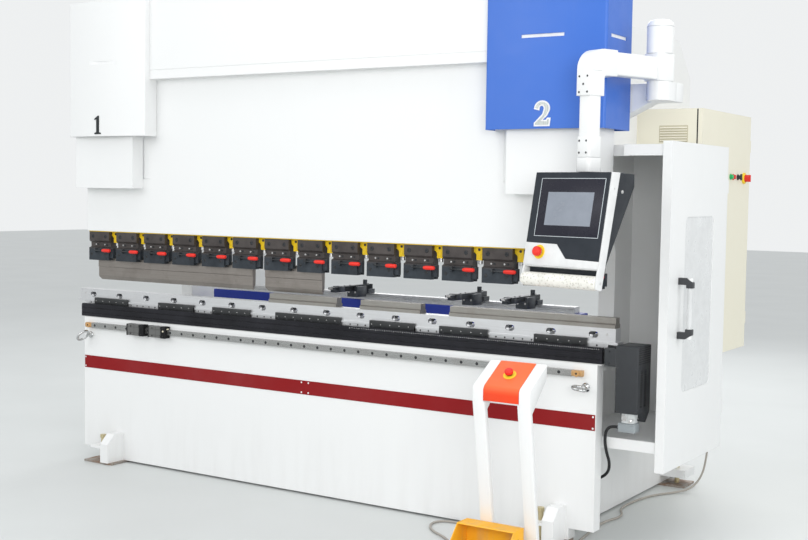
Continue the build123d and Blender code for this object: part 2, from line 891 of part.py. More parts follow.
def dies():
    """Single V dies that lie on the crowning rail."""
    outline = [
        (-TABLE_HALF_Y, CROWN_Z1),
        (-TABLE_HALF_Y, CROWN_Z1 + DIE_BASE),
        (-DIE_HEAD / 2, CROWN_Z1 + DIE_BASE + DIE_STEP),
        (-DIE_HEAD / 2, CROWN_Z1 + DIE_H),
        (-DIE_V / 2, CROWN_Z1 + DIE_H),
        (0, CROWN_Z1 + DIE_H - DIE_V / 2),
        (DIE_V / 2, CROWN_Z1 + DIE_H),
        (DIE_HEAD / 2, CROWN_Z1 + DIE_H),
        (DIE_HEAD / 2, CROWN_Z1 + DIE_BASE + DIE_STEP),
        (TABLE_HALF_Y, CROWN_Z1 + DIE_BASE),
        (TABLE_HALF_Y, CROWN_Z1),
    ]
    return [along_x(outline, x0, x1) for x0, x1 in DIE_SPANS]


def crowning_cover():
    """The black grooved profile along the front of the table."""
    z0 = TABLE_Z0 + COVER_BOTTOM
    z1 = z0 + COVER_H
    shelf_z = z0 + COVER_SHELF
    outline = [
        (COVER_FRONT, z0),
        (-TABLE_HALF_Y, z0),
        (-TABLE_HALF_Y, shelf_z),
        (COVER_FRONT + COVER_LIP, shelf_z),
        (COVER_FRONT + COVER_LIP, z1),
        (COVER_FRONT, z1),
    ]
    for rise in GROOVE_TOPS:
        groove_z = z0 + rise
        outline += [
            (COVER_FRONT, groove_z),
            (COVER_FRONT + GROOVE_D, groove_z - 1),
            (COVER_FRONT + GROOVE_D, groove_z - GROOVE_H),
            (COVER_FRONT, groove_z - GROOVE_H - 1),
        ]
    half = COVER_LENGTH / 2
    strip = block(-half, half, COVER_FRONT + 2, -TABLE_HALF_Y, TABLE_Z0, z0)
    return [along_x(outline, -half, half), strip]


def crowning_drive():
    """Coupling block, belt casing, motor and connector at the right end."""
    table_end = TABLE_LENGTH / 2
    x0 = DRIVE_LEFT + 1
    x1 = x0 + DRIVE_W
    y1 = COVER_FRONT + DRIVE_DEPTH
    coupling = block(table_end, x0, COVER_FRONT, TABLE_HALF_Y, TABLE_Z0, TABLE_Z0 + COUPLING_H)
    casing_outline = [
        (COVER_FRONT, DRIVE_TOP),
        (y1, DRIVE_TOP),
        (y1, DRIVE_BOTTOM),
        (y1 - DRIVE_TAIL, DRIVE_BOTTOM - DRIVE_TAIL),
        (y1 - 2 * DRIVE_TAIL, DRIVE_BOTTOM),
        (COVER_FRONT, DRIVE_BOTTOM),
    ]
    casing = along_x(casing_outline, x0, x1)
    casing = chamfer(casing.edges().filter_by(Axis.Z).group_by(Axis.Y)[0], DRIVE_BEVEL)
    motor_x = x0 + DRIVE_W / 2
    motor_y = COVER_FRONT + MOTOR_SETBACK
    plug_x = motor_x - PLUG_SHIFT
    plug_left = plug_x - PLUG_W / 2
    motor = post(motor_x, motor_y, DRIVE_BOTTOM - MOTOR_H, DRIVE_BOTTOM, MOTOR_R)
    plug_top = DRIVE_BOTTOM - MOTOR_H
    plug = block(
        plug_left,
        plug_x + PLUG_W / 2,
        motor_y - PLUG_D / 2,
        motor_y + PLUG_D / 2,
        plug_top - PLUG_H,
        plug_top,
    )
    plug = fillet(plug.edges().filter_by(Axis.Z), PLUG_R)
    gland_z = plug_top - PLUG_H / 2 - PLUG_SHIFT
    gland = bar_x(plug_left - GLAND_L, plug_left, motor_y, gland_z, GLAND_R)
    return [coupling + casing, motor, plug + gland]


# Ram and tooling
def ram():
    """The moving beam: a tall centre, two shoulders and the rod seats."""
    half = RAM_LENGTH / 2
    outline = [
        (-half, RAM_Z0),
        (half, RAM_Z0),
        (half, SHOULDER_Z),
        (RAM_CENTRE_HALF, SHOULDER_Z),
        (RAM_CENTRE_HALF, RAM_Z0 + RAM_CENTRE_H),
        (-RAM_CENTRE_HALF, RAM_Z0 + RAM_CENTRE_H),
        (-RAM_CENTRE_HALF, SHOULDER_Z),
        (-half, SHOULDER_Z),
    ]
    shape = along_y(outline, RAM_FRONT, RAM_BACK)
    seat = block(
        CYL_X - ROD_SEAT_W / 2,
        CYL_X + ROD_SEAT_W / 2,
        -ROD_SEAT_D / 2,
        RAM_BACK,
        ROD_Z0 - ROD_SEAT_H,
        ROD_Z0,
    )
    for piece in both_sides(seat):
        shape += piece
    return shape


def clamp_x(index):
    """The middle of a punch clamp."""
    return (index - (CLAMP_COUNT - 1) / 2) * CLAMP_PITCH


def ram_rail():
    """The yellow holding rail, with one tab between each pair of clamps."""
    half = HOLD_LENGTH / 2
    shape = block(-half, half, HOLD_FRONT, HOLD_BACK, RAM_Z0 - HOLD_BAND, RAM_Z0)
    for index in range(CLAMP_COUNT - 1):
        x = clamp_x(index) + CLAMP_PITCH / 2
        tab_outline = [
            (x - HOLD_TAB / 2 - HOLD_BEVEL, RAM_Z0 - HOLD_BAND),
            (x - HOLD_TAB / 2, RAM_Z0 - HOLD_BAND - HOLD_BEVEL),
            (x - HOLD_TAB / 2, RAM_Z0 - HOLD_H),
            (x + HOLD_TAB / 2, RAM_Z0 - HOLD_H),
            (x + HOLD_TAB / 2, RAM_Z0 - HOLD_BAND - HOLD_BEVEL),
            (x + HOLD_TAB / 2 + HOLD_BEVEL, RAM_Z0 - HOLD_BAND),
        ]
        shape += along_y(tab_outline, HOLD_FRONT, HOLD_BACK)
    return shape


def punch_clamp(centre):
    """One clamp: block, waist, jaws for the tang, ears and lever pin."""
    z = RAM_Z0
    slot = TANG_SLOT_W / 2
    outline = [
        (CLAMP_FRONT, z - CLAMP_TOP),
        (CLAMP_FRONT, z - CLAMP_BLOCK_BOTTOM + CLAMP_BEVEL),
        (CLAMP_FRONT + 2 * CLAMP_BEVEL, z - CLAMP_BLOCK_BOTTOM - CLAMP_BEVEL),
        (WAIST_OUT, z - CLAMP_BLOCK_BOTTOM - JAW_BEVEL),
        (WAIST_OUT, z - CLAMP_WAIST_BOTTOM),
        (JAW_OUT, z - CLAMP_WAIST_BOTTOM - JAW_BEVEL),
        (JAW_OUT, CLAMP_Z0),
        (-slot, CLAMP_Z0),
        (-slot, CLAMP_Z0 + TANG_SLOT_H),
        (slot, CLAMP_Z0 + TANG_SLOT_H),
        (slot, CLAMP_Z0),
        (CLAMP_BACK, CLAMP_Z0),
        (CLAMP_BACK, z - HOLD_BAND),
        (HOLD_FRONT, z - HOLD_BAND),
        (HOLD_FRONT, z - CLAMP_TOP),
    ]
    half = CLAMP_W / 2
    shape = along_x(outline, centre - half, centre + half)
    step_front = -slot - 1 - STEP_T
    step_top = CLAMP_Z0 + STEP_RISE + STEP_H
    shape += block(centre + half, centre + half + STEP_W, step_front, -slot - 1, step_top - STEP_H, step_top)
    pin_x = centre + LEVER_X
    boss_half = LEVER_BOSS_H / 2 + SEAT_GAP
    for z0 in (LEVER_AXIS_Z - boss_half - EAR_T, LEVER_AXIS_Z + boss_half):
        shape += block(
            pin_x - EAR_W / 2, pin_x + EAR_W / 2, LEVER_AXIS_Y - EAR_OUT, JAW_OUT, z0, z0 + EAR_T
        )
    return shape + post(
        pin_x, LEVER_AXIS_Y, LEVER_AXIS_Z - boss_half, LEVER_AXIS_Z + boss_half, LEVER_PIN_R
    )


def clamp_lever(centre):
    """A quick clamp lever with its red grip, turning on the clamp's pin."""
    pin_x = centre + LEVER_X
    half = LEVER_BOSS_H / 2
    z0 = LEVER_AXIS_Z - half
    z1 = LEVER_AXIS_Z + half
    grip_y = LEVER_AXIS_Y - GRIP_OFFSET
    grip_x = pin_x + GRIP_START
    bar_outline = [
        (pin_x, LEVER_AXIS_Y + LEVER_BAR_BACK),
        (pin_x, LEVER_AXIS_Y - LEVER_BAR_FRONT),
        (grip_x, grip_y - LEVER_BAR_FRONT),
        (grip_x + LEVER_BAR_END, grip_y - LEVER_BAR_FRONT),
        (grip_x + LEVER_BAR_END, grip_y + LEVER_BAR_BACK),
        (grip_x, grip_y + LEVER_BAR_BACK),
    ]
    shape = along_z(bar_outline, z0, z1)
    shape += post(pin_x, LEVER_AXIS_Y, z0, z1, LEVER_BOSS_R)
    grip = bar_x(grip_x, grip_x + GRIP_LENGTH, grip_y, LEVER_AXIS_Z, GRIP_R)
    shape += chamfer(grip.edges(), GRIP_BEVEL)
    return shape - post(pin_x, LEVER_AXIS_Y, z0 - 1, z1 + 1, LEVER_PIN_R + PIN_FIT)


def punches():
    """Straight punches with a tang in the clamps' slot."""
    z = CLAMP_Z0
    tang = TANG_SLOT_W / 2 - SEAT_GAP
    tip_z = z - PUNCH_H
    outline = [
        (-tang, z + TANG_H),
        (-tang, z),
        (-PUNCH_HALF, z),
        (-PUNCH_HALF, z - PUNCH_SHOULDER),
        (-PUNCH_HALF + PUNCH_STEP, z - PUNCH_SHOULDER - PUNCH_STEP),
        (-PUNCH_HALF + PUNCH_STEP, tip_z + PUNCH_FRONT_RISE),
        (-PUNCH_TIP, tip_z),
        (PUNCH_TIP, tip_z),
        (PUNCH_HALF - 1, tip_z + PUNCH_BACK_RISE),
        (PUNCH_HALF, z),
        (tang, z),
        (tang, z + TANG_H),
    ]
    pieces = []
    for x0, x1 in PUNCH_SPANS:
        punch = along_x(outline, x0, x1)
        horn = [(x0, tip_z), (x0 + PUNCH_HORN, tip_z), (x0, tip_z + PUNCH_HORN)]
        pieces.append(punch - along_y(horn, -PUNCH_HALF - 1, PUNCH_HALF + 1))
    return pieces


# Cylinders and covers
def cylinders():
    """Two hydraulic cylinders bolted to the jaws, with valve blocks on top."""
    top = CYL_BOTTOM + CYL_H
    shape = post(CYL_X, 0, CYL_BOTTOM, top, CYL_R)
    flange = CYL_FLANGE_HALF
    shape += block(CYL_X - flange, CYL_X + flange, CYL_FLANGE_Y, JAW_FRONT, CYL_BOTTOM, top)
    half = VALVE_W / 2
    shape += block(CYL_X - half, CYL_X + half, -half, half, top, top + VALVE_H)
    bore_top = CYL_BOTTOM + ROD_IN_CYL + BORE_EXTRA
    shape -= post(CYL_X, 0, CYL_BOTTOM - 1, bore_top, ROD_R + PIN_FIT)
    return both_sides(shape)


def piston_rods():
    """The rods that push the ram down."""
    rod = post(CYL_X, 0, ROD_Z0, CYL_BOTTOM + ROD_IN_CYL, ROD_R)
    return both_sides(rod)


def cover_face(inner, outer, front, bow, back_inner, back_outer, radius):
    """The plan of a bowed cover that is open towards the back."""
    chord = outer - inner
    mid_x = (inner + outer) / 2
    edge = [
        Line((inner, back_inner), (inner, front)),
        ThreePointArc((inner, front), (mid_x, front - bow), (outer, front)),
        Line((outer, front), (outer, back_outer)),
        Line((outer, back_outer), (inner, back_inner)),
    ]
    face = make_face(Curve() + edge)
    corners = face.vertices().filter_by(lambda v: abs(v.Y - front) < 0.01)
    return fillet(corners, min(radius, chord / 4))


def cylinder_cover():
    """The right cylinder cover: bowed front, sides, lid, slots."""
    sheet = COVER_SHEET
    back_in = RAM_FRONT - 3
    outer = cover_face(
        CYL_COVER_IN,
        CYL_COVER_OUT,
        CYL_COVER_FRONT,
        CYL_COVER_BOW,
        back_in,
        CYL_COVER_BACK,
        COVER_CORNER,
    )
    inner = cover_face(
        CYL_COVER_IN + sheet,
        CYL_COVER_OUT - sheet,
        CYL_COVER_FRONT + sheet,
        CYL_COVER_BOW,
        back_in + CUT_PAST,
        CYL_COVER_BACK + CUT_PAST,
        COVER_CORNER - sheet,
    )
    height = CYL_COVER_TOP - CYL_COVER_BOTTOM
    shape = Pos(0, 0, CYL_COVER_BOTTOM) * extrude(outer, amount=height, dir=(0, 0, 1))
    hollow = Pos(0, 0, CYL_COVER_BOTTOM) * extrude(inner, amount=height - sheet, dir=(0, 0, 1))
    shape -= hollow
    middle = (CYL_COVER_IN + CYL_COVER_OUT) / 2
    deep = CYL_COVER_FRONT - CYL_COVER_BOW - 10
    shape -= block(
        middle - VENT_W / 2, middle + VENT_W / 2, deep, CYL_COVER_FRONT + 20, VENT_Z, VENT_Z + VENT_H
    )
    side_z = VENT_Z - SIDE_VENT_DROP
    shape -= block(
        CYL_COVER_OUT - 10, CYL_COVER_OUT + 10, SIDE_VENT_Y0, SIDE_VENT_Y1, side_z, side_z + VENT_H
    )
    tab = block(
        CYL_X,
        CYL_COVER_OUT - sheet,
        JAW_FRONT - sheet,
        JAW_FRONT,
        CYL_COVER_BOTTOM,
        CYL_BOTTOM - sheet,
    )
    return shape + tab


def cylinder_covers():
    """The left cover is the right one's mirror image."""
    return both_sides(cylinder_cover())


def rod_covers():
    """Covers below the cylinders, which travel with the ram."""
    sheet = COVER_SHEET
    outer_x = RAM_LENGTH / 2 + sheet
    z0 = ROD_COVER_BOTTOM
    z1 = z0 + ROD_COVER_H
    front = block(ROD_COVER_IN, outer_x, ROD_COVER_FRONT, ROD_COVER_FRONT + sheet, z0, z1)
    front += block(ROD_COVER_IN, ROD_COVER_IN + sheet, ROD_COVER_FRONT, RAM_FRONT, z0, z1)
    front += block(outer_x - sheet, outer_x, ROD_COVER_FRONT, ROD_COVER_BACK, z0, z1)
    front += block(ROD_COVER_IN, outer_x, ROD_COVER_FRONT, RAM_FRONT, z0, z0 + sheet)
    return both_sides(front)


def top_front_cover():
    """The front panel between the cylinder covers."""
    half = CYL_COVER_IN
    sheet = COVER_SHEET
    back = RAM_FRONT - 6
    z0 = TOP_COVER_BOTTOM
    shape = block(-half, half, TOP_COVER_FRONT, TOP_COVER_FRONT + sheet, z0, CYL_COVER_TOP)
    shape += block(-half, half, TOP_COVER_FRONT, back, z0, z0 + sheet)
    shape += block(-half, half, TOP_COVER_FRONT, back, CYL_COVER_TOP - sheet, CYL_COVER_TOP)
    seam_z = z0 + TOP_COVER_SEAM
    shape -= block(-half - 1, half + 1, TOP_COVER_FRONT - 1, TOP_COVER_FRONT + 1, seam_z, seam_z + SEAM_W)
    return shape


def oil_tank():
    """A tank between the frames, with a motor and pump lying on it."""
    wall = TANK_WALL
    y1 = TANK_Y + TANK_D
    top = TANK_Z + TANK_H
    tank = block(-FRAME_INNER, FRAME_INNER, TANK_Y, y1, TANK_Z, top)
    tank -= block(
        -FRAME_INNER + wall, FRAME_INNER - wall, TANK_Y + wall, y1 - wall, TANK_Z + wall, top - wall
    )
    axis_z = top + PUMP_FOOT_H + PUMP_R
    axis_y = TANK_Y + TANK_D / 2
    motor = bar_x(PUMP_X, PUMP_X + PUMP_L, axis_y, axis_z, PUMP_R)
    motor = chamfer(motor.edges(), PUMP_BEVEL)
    foot = block(
        PUMP_X + PUMP_FOOT_IN,
        PUMP_X + PUMP_L - PUMP_FOOT_IN,
        axis_y - PUMP_R,
        axis_y + PUMP_R,
        top,
        axis_z - PUMP_FOOT_TOP,
    )
    pump = block(
        PUMP_X - PUMP_BLOCK,
        PUMP_X,
        axis_y - PUMP_BLOCK / 2,
        axis_y + PUMP_BLOCK / 2,
        top,
        axis_z + PUMP_FOOT_IN,
    )
    return [tank, motor + foot, pump]


# Side guard
def door_hinge_heights():
    """Where the guard door's two hinges start."""
    return DOOR_BOTTOM + DOOR_HINGE_INSET, DOOR_TOP - DOOR_HINGE_INSET - HINGE_L


def knuckle_heights(z):
    """Where the fixed knuckles below and above a hinge start."""
    return z - KNUCKLE_GAP - KNUCKLE_L, z + HINGE_L + KNUCKLE_GAP


def hinge_pin(x, y, z):
    """The pin through a hinge and its fixed knuckles."""
    reach = KNUCKLE_GAP + KNUCKLE_L
    return post(x, y, z - reach, z + HINGE_L + reach, HINGE_PIN_R)


def guard_box():
    """Shelf, back wall and roof of the side guard, open at the front."""
    x0 = FRAME_OUT
    x1 = GUARD_OUT - SEAT_GAP
    y0 = GUARD_FRONT
    y1 = GUARD_BACK
    t = GUARD_SHEET
    lip = GUARD_LIP
    z0 = GUARD_FLOOR_Z
    z1 = GUARD_TOP_Z
    shelf_outline = [
        (y0, z0),
        (y0, z0 + lip),
        (y1, z0 + lip),
        (y1, z0 + lip - t),
        (y0 + t, z0 + lip - t),
        (y0 + t, z0),
    ]
    shape = along_x(shelf_outline, x0, x1)
    shape += block(x0, x1, y1 - t, y1, z0, z1)
    roof = block(x0, x1, y0, y1, z1 - lip, z1) - block(x0 - 1, x1 + 1, y0 + t, y1, z1 - lip - 1, z1 - t)
    roof -= block(x0 - 1, GUARD_NOTCH_X, y0 - 1, GUARD_NOTCH_Y, z1 - lip - 1, z1 + 1)
    roof += block(x0, GUARD_NOTCH_X, GUARD_NOTCH_Y, GUARD_NOTCH_Y + t, z1 - lip, z1)
    shape += roof
    leaf_back = DOOR_AXIS_Y + LEAF_T
    for z in door_hinge_heights():
        shape += hinge_pin(DOOR_AXIS_X, DOOR_AXIS_Y, z)
        for low in knuckle_heights(z):
            high = low + KNUCKLE_L
            shape += post(DOOR_AXIS_X, DOOR_AXIS_Y, low, high, HINGE_R)
            leaf = block(x1 - LEAF_REACH, DOOR_AXIS_X, GUARD_BACK, leaf_back, low, high)
            shape += leaf - block(x1, DOOR_OUT, 0, GUARD_BACK + SEAT_GAP, 0, GUARD_TOP_Z)
    return shape


def guard_door():
    """The hinged door tray with its window pane and pull handle."""
    t = DOOR_SHEET
    x0 = GUARD_OUT
    x1 = DOOR_OUT
    y0 = DOOR_FRONT
    y1 = GUARD_BACK
    tray = block(x0, x1, y0, y1, DOOR_BOTTOM, DOOR_TOP)
    tray -= block(x0 - 1, x1 - t, y0 + t, y1 - t, DOOR_BOTTOM + t, DOOR_TOP - t)
    window = block(
        x0 - 5, x1 + 5, WINDOW_Y, WINDOW_Y + WINDOW_W, WINDOW_Z, WINDOW_Z + WINDOW_H
    )
    window = fillet(window.edges().filter_by(Axis.X), WINDOW_R)
    tray -= window
    for z in door_hinge_heights():
        knuckle = post(DOOR_AXIS_X, DOOR_AXIS_Y, z, z + HINGE_L, HINGE_R)
        leaf = block(DOOR_AXIS_X, x1, y1 - t, DOOR_AXIS_Y + HINGE_R - KNUCKLE_GAP, z, z + HINGE_L)
        tray += knuckle + leaf
        tray -= post(DOOR_AXIS_X, DOOR_AXIS_Y, z - 1, z + HINGE_L + 1, HINGE_PIN_R + PIN_FIT)
    edge = PANE_EDGE
    pane = block(
        x1 - t - PANE_T,
        x1 - t,
        WINDOW_Y - edge,
        WINDOW_Y + WINDOW_W + edge,
        WINDOW_Z - edge,
        WINDOW_Z + WINDOW_H + edge,
    )
    grip_x = x1 + HANDLE_OUT - HANDLE_R
    handle = post(grip_x, HANDLE_Y, HANDLE_LOW - HANDLE_PAST, HANDLE_HIGH + HANDLE_PAST, HANDLE_R)
    side = BRACKET_W / 2
    rise = BRACKET_H / 2
    for z in (HANDLE_LOW, HANDLE_HIGH):
        handle += block(x1, grip_x, HANDLE_Y - side, HANDLE_Y + side, z - rise, z + rise)
    return [tray, pane, handle]


# Electrical cabinet
def cabinet_hinge_heights():
    """Where the cabinet door's two hinges start."""
    return CAB_Z + CAB_HINGE_INSET, CAB_TOP - CAB_HINGE_INSET - HINGE_L


def cabinet():
    """A sheet steel cabinet on the frame, with louvres and what it holds."""
    t = CAB_SHEET
    shell = block(FRAME_OUT, CAB_OUT, CAB_FRONT, CAB_BACK, CAB_Z, CAB_TOP)
    shell -= block(FRAME_OUT + t, CAB_OUT + 1, CAB_FRONT + t, CAB_BACK - t, CAB_Z + t, CAB_TOP - t)
    for index in range(LOUVRE_COUNT):
        z = LOUVRE_Z + LOUVRE_PITCH * index
        shell -= block(LOUVRE_X, LOUVRE_X + LOUVRE_W, CAB_FRONT - 1, CAB_FRONT + t + 1, z, z + LOUVRE_H)
    leaf_back = CAB_AXIS_Y + LEAF_T
    for z in cabinet_hinge_heights():
        for low in knuckle_heights(z):
            high = low + KNUCKLE_L
            shell += post(CAB_DOOR_X, CAB_AXIS_Y, low, high, HINGE_R)
            shell += block(CAB_OUT - LEAF_REACH, CAB_DOOR_X, CAB_BACK, leaf_back, low, high)
        shell += hinge_pin(CAB_DOOR_X, CAB_AXIS_Y, z)
    panel_x = FRAME_OUT + t
    device_x = panel_x + CAB_PANEL_T
    edge = CAB_PANEL_EDGE
    panel = block(panel_x, device_x, CAB_FRONT + edge, CAB_BACK - edge, CAB_Z + edge, CAB_TOP - edge)
    for row, rise in enumerate(DEVICE_ROWS):
        for column, setback in enumerate(DEVICE_COLUMNS):
            y = CAB_FRONT + setback
            z = CAB_Z + rise
            depth = DEVICE_DEPTH + DEVICE_STEP * ((row + column) % len(DEVICE_ROWS))
            panel += block(device_x, device_x + depth, y, y + DEVICE_W, z, z + DEVICE_H)
    gland = post(CAB_OUT - CAB_GLAND_INSET, CAB_GLAND_Y, CAB_Z - CAB_GLAND_L, CAB_Z, CAB_GLAND_R)
    return [shell, panel, gland]


def cabinet_door():
    """The cabinet's hinged door, with its lock."""
    t = CAB_SHEET
    x0 = CAB_DOOR_X
    x1 = CAB_FACE
    door = block(x0, x1, CAB_FRONT, CAB_BACK, CAB_Z, CAB_TOP)
    door -= block(x0 - 1, x1 - t, CAB_FRONT + t, CAB_BACK - t, CAB_Z + t, CAB_TOP - t)
    for z in cabinet_hinge_heights():
        door += post(CAB_DOOR_X, CAB_AXIS_Y, z, z + HINGE_L, HINGE_R)
        door += block(CAB_DOOR_X, x1, CAB_BACK - t, CAB_AXIS_Y + LEAF_T, z, z + HINGE_L)
        door -= post(CAB_DOOR_X, CAB_AXIS_Y, z - 1, z + HINGE_L + 1, HINGE_PIN_R + PIN_FIT)
    door += bar_x(x1, x1 + LOCK_H, CAB_FRONT + LOCK_INSET, LOCK_Z, LOCK_R)
    plate = ESTOP_PLATE / 2
    low = ESTOP_Z - plate
    high = ESTOP_Z + plate
    door += block(x1 - t, x1 + COLLAR_H, ESTOP_Y - plate, ESTOP_Y + plate, low, high)
    return door - bar_x(x0, x1 + BUTTON_H, ESTOP_Y, ESTOP_Z, BUTTON_STEM_R + SLIDE_GAP)


def mushroom(radius):
    """An emergency stop head above Z zero, with its stem below."""
    gap = BUTTON_TRAVEL + 1
    head = post(0, 0, gap, gap + BUTTON_H, radius)
    head = fillet(head.edges().group_by(Axis.Z)[-1], BUTTON_EDGE_R)
    return head + post(0, 0, -BUTTON_STEM_L, gap, BUTTON_STEM_R)


def cabinet_estop():
    """The emergency stop on the cabinet door."""
    return Pos(CAB_FACE + COLLAR_H, ESTOP_Y, ESTOP_Z) * Rot(0, 90, 0) * mushroom(BUTTON_R)


# Swivel arm and pendant
def arm_frame(angle):
    """Moves what is drawn about the pivot, pointing to -Y, to its angle."""
    return Pos(PIVOT_X, PIVOT_Y, 0) * Rot(0, 0, angle)


def arm_bracket():
    """The bracket that carries the arm's pivot on the frame."""
    y0 = ARM_BRACKET_Y
    y1 = y0 + ARM_BRACKET_D
    z0 = ARM_BRACKET_Z
    z1 = z0 + ARM_BRACKET_H
    outline = [
        (FRAME_OUT, z1),
        (FRAME_OUT, z0 - ARM_BRACKET_DROP),
        (FRAME_OUT + ARM_BRACKET_ROOT, z0 - ARM_BRACKET_DROP),
        (PIVOT_X - ARM_BRACKET_ROOT, z0),
        (PIVOT_X + ARM_DRUM_R, z0),
        (PIVOT_X + ARM_DRUM_R, z1),
    ]
    shape = along_y(outline, y0, y1)
    shape += block(
        PIVOT_X - ARM_DRUM_R, PIVOT_X + ARM_DRUM_R, PIVOT_Y - ARM_DRUM_R, y0, z0, z1
    )
    shape = fillet(shape.edges().filter_by(Axis.Z).group_by(Axis.Y)[0], ARM_BRACKET_R)
    return shape + post(PIVOT_X, PIVOT_Y, z1, z1 + ARM_SPIGOT_L, ARM_SPIGOT_R)


def swivel_arm():
    """Pivot drum, boom, elbow and post of the pendant arm."""
    z0 = ARM_Z0 + SEAT_GAP
    z1 = z0 + ARM_ROOT_H
    top = z1 + ARM_DRUM_H
    root = block(-ARM_DRUM_R, ARM_DRUM_R, -ARM_DRUM_R, ARM_DRUM_R, z0, z1)
    root = fillet(root.edges().filter_by(Axis.Z), ARM_ROOT_R)
    drum = post(0, 0, z1, top + ARM_DOME_H, ARM_DRUM_R)
    drum = fillet(drum.edges().group_by(Axis.Z)[-1], ARM_DOME_H - 1)
    half = ARM_TUBE_W / 2
    z = ARM_TUBE_Z
    boom_end = -ARM_DRUM_R + SLEEVE_LAP
    boom = block(-half, half, -ARM_REACH, boom_end, z - ARM_TUBE_H / 2, z + ARM_TUBE_H / 2)
    elbow_half = ARM_SLEEVE_W / 2
    elbow_top = z + ARM_TUBE_H / 2
    elbow = block(
        -elbow_half,
        elbow_half,
        -ARM_REACH - elbow_half,
        -ARM_REACH + elbow_half,
        elbow_top - ARM_ELBOW_H,
        elbow_top,
    )
    crown = elbow.edges().filter_by(Axis.X).group_by(Axis.Z)[-1].group_by(Axis.Y)[0]
    elbow = fillet(crown, ARM_ELBOW_R)
    elbow = fillet(elbow.edges().filter_by(Axis.Z), ARM_SLEEVE_R)
    post_half = ARM_POST_W / 2
    tube = block(
        -post_half,
        post_half,
        -ARM_REACH - post_half,
        -ARM_REACH + post_half,
        ARM_COLLAR_Z,
        elbow_top - ARM_ELBOW_H,
    )
    tube = fillet(tube.edges().filter_by(Axis.Z), ARM_POST_R)
    collar = block(
        -elbow_half,
        elbow_half,
        -ARM_REACH - elbow_half,
        -ARM_REACH + elbow_half,
        ARM_COLLAR_Z,
        ARM_COLLAR_Z + ARM_COLLAR_H,
    )
    collar = fillet(collar.edges().filter_by(Axis.Z), ARM_COLLAR_R)
    foot = post(0, -ARM_REACH, ARM_POST_BOTTOM + SEAT_GAP, ARM_COLLAR_Z, elbow_half)
    shape = root + drum + boom + elbow + tube + collar + foot
    shape -= post(0, 0, ARM_Z0 - 1, ARM_Z0 + ARM_SPIGOT_L + 2, ARM_SPIGOT_R + PIN_FIT)
    return arm_frame(-ARM_TURN) * shape


def pendant_frame():
    """Places what is drawn with its face to -Y and its top rear edge at zero."""
    x, y = PENDANT_AXIS
    turn = Pos(x, y, PENDANT_TOP) * Rot(0, 0, -PENDANT_TURN)
    return turn * Pos(0, -PENDANT_OFFSET, 0) * Rot(-PENDANT_LEAN, 0, 0)


def pendant():
    """Housing with side plates, shoe and roller, and the arm's lower joint."""
    half = PENDANT_W / 2
    depth = PENDANT_SIDE_D
    side_t = PENDANT_SIDE_T
    frame_back = depth - PENDANT_FRAME
    face = block(-half + side_t, half - side_t, 0, frame_back, -PENDANT_H, 0)
    reach = PENDANT_TOP - ROLLER_Z
    side_outline = [
        (-SIDE_LIP, 0),
        (depth, 0),
        (depth, -PENDANT_H),
        (depth + SIDE_LIP, -reach - ROLLER_R),
        (-SIDE_LIP_LOW, -reach - ROLLER_R),
        (-SIDE_LIP, -reach + ROLLER_R),
    ]
    sides = along_x(side_outline, -half, -half + side_t)
    sides += along_x(side_outline, half - side_t, half)
    roller = bar_x(-half + side_t, half - side_t, depth / 2, -reach, ROLLER_CORE_R)
    shoe_outline = [
        (frame_back, 0),
        (frame_back + PENDANT_SHOE, 0),
        (frame_back + PENDANT_SHOE, -SHOE_TOP),
        (frame_back, -PENDANT_H + SHOE_LOW),
    ]
    shoe = along_x(shoe_outline, -half + side_t, half - side_t)
    stop_x = -half + PENDANT_ESTOP_X
    stop_z = -PENDANT_H + PENDANT_ESTOP_Z
    boss = bar_y(stop_x, -COLLAR_H, 0, stop_z, COLLAR_R)
    hole = bar_y(stop_x, -BUTTON_R, COLLAR_R, stop_z, BUTTON_STEM_R + SLIDE_GAP)
    shape = pendant_frame() * (face + sides + roller + shoe + boss - hole)
    x, y = PENDANT_AXIS
    neck = post(x, y, PENDANT_TOP - PENDANT_NECK_L, ARM_POST_BOTTOM, PENDANT_NECK_R)
    return shape + neck


def pendant_estop():
    """The emergency stop on the pendant's face."""
    stop_x = -PENDANT_W / 2 + PENDANT_ESTOP_X
    stop_z = -PENDANT_H + PENDANT_ESTOP_Z
    return pendant_frame() * Pos(stop_x, -COLLAR_H, stop_z) * Rot(90, 0, 0) * mushroom(BUTTON_R)


# Foot console
def console_line(y):
    """The height of the stand's sloping head at a place in Y."""
    return STAND_TOP - math.tan(math.radians(HEAD_SLOPE)) * (STAND_TOP_Y - y)


def console_side(inset):
    """The stand's side outline, drawn inwards by an inset at its front and top."""
    slope = math.radians(HEAD_SLOPE)
    centre_y = STAND_FRONT_Y + HEAD_R
    crest_y = centre_y - HEAD_R * math.sin(slope)
    centre_z = console_line(crest_y) - HEAD_R * math.cos(slope)
    foot_y = STAND_FRONT_Y + STAND_RAKE
    points = [(foot_y + inset, 0), (STAND_FRONT_Y + inset, STAND_KNEE_Z)]
    for step in range(HEAD_STEPS + 1):
        turn = math.pi - (math.pi / 2 - slope) * step / HEAD_STEPS
        y = centre_y + (HEAD_R - inset) * math.cos(turn)
        z = centre_z + (HEAD_R - inset) * math.sin(turn)
        points.append((y, z))
    points.append((STAND_TOP_Y, STAND_TOP - inset / math.cos(slope)))
    points.append((STAND_TOP_Y, STAND_TOP - STAND_BACK_LIP))
    points.append((STAND_FRONT_Y + STAND_DEPTH, STAND_KNEE_Z))
    points.append((foot_y + STAND_FOOT_DEPTH, 0))
    return points


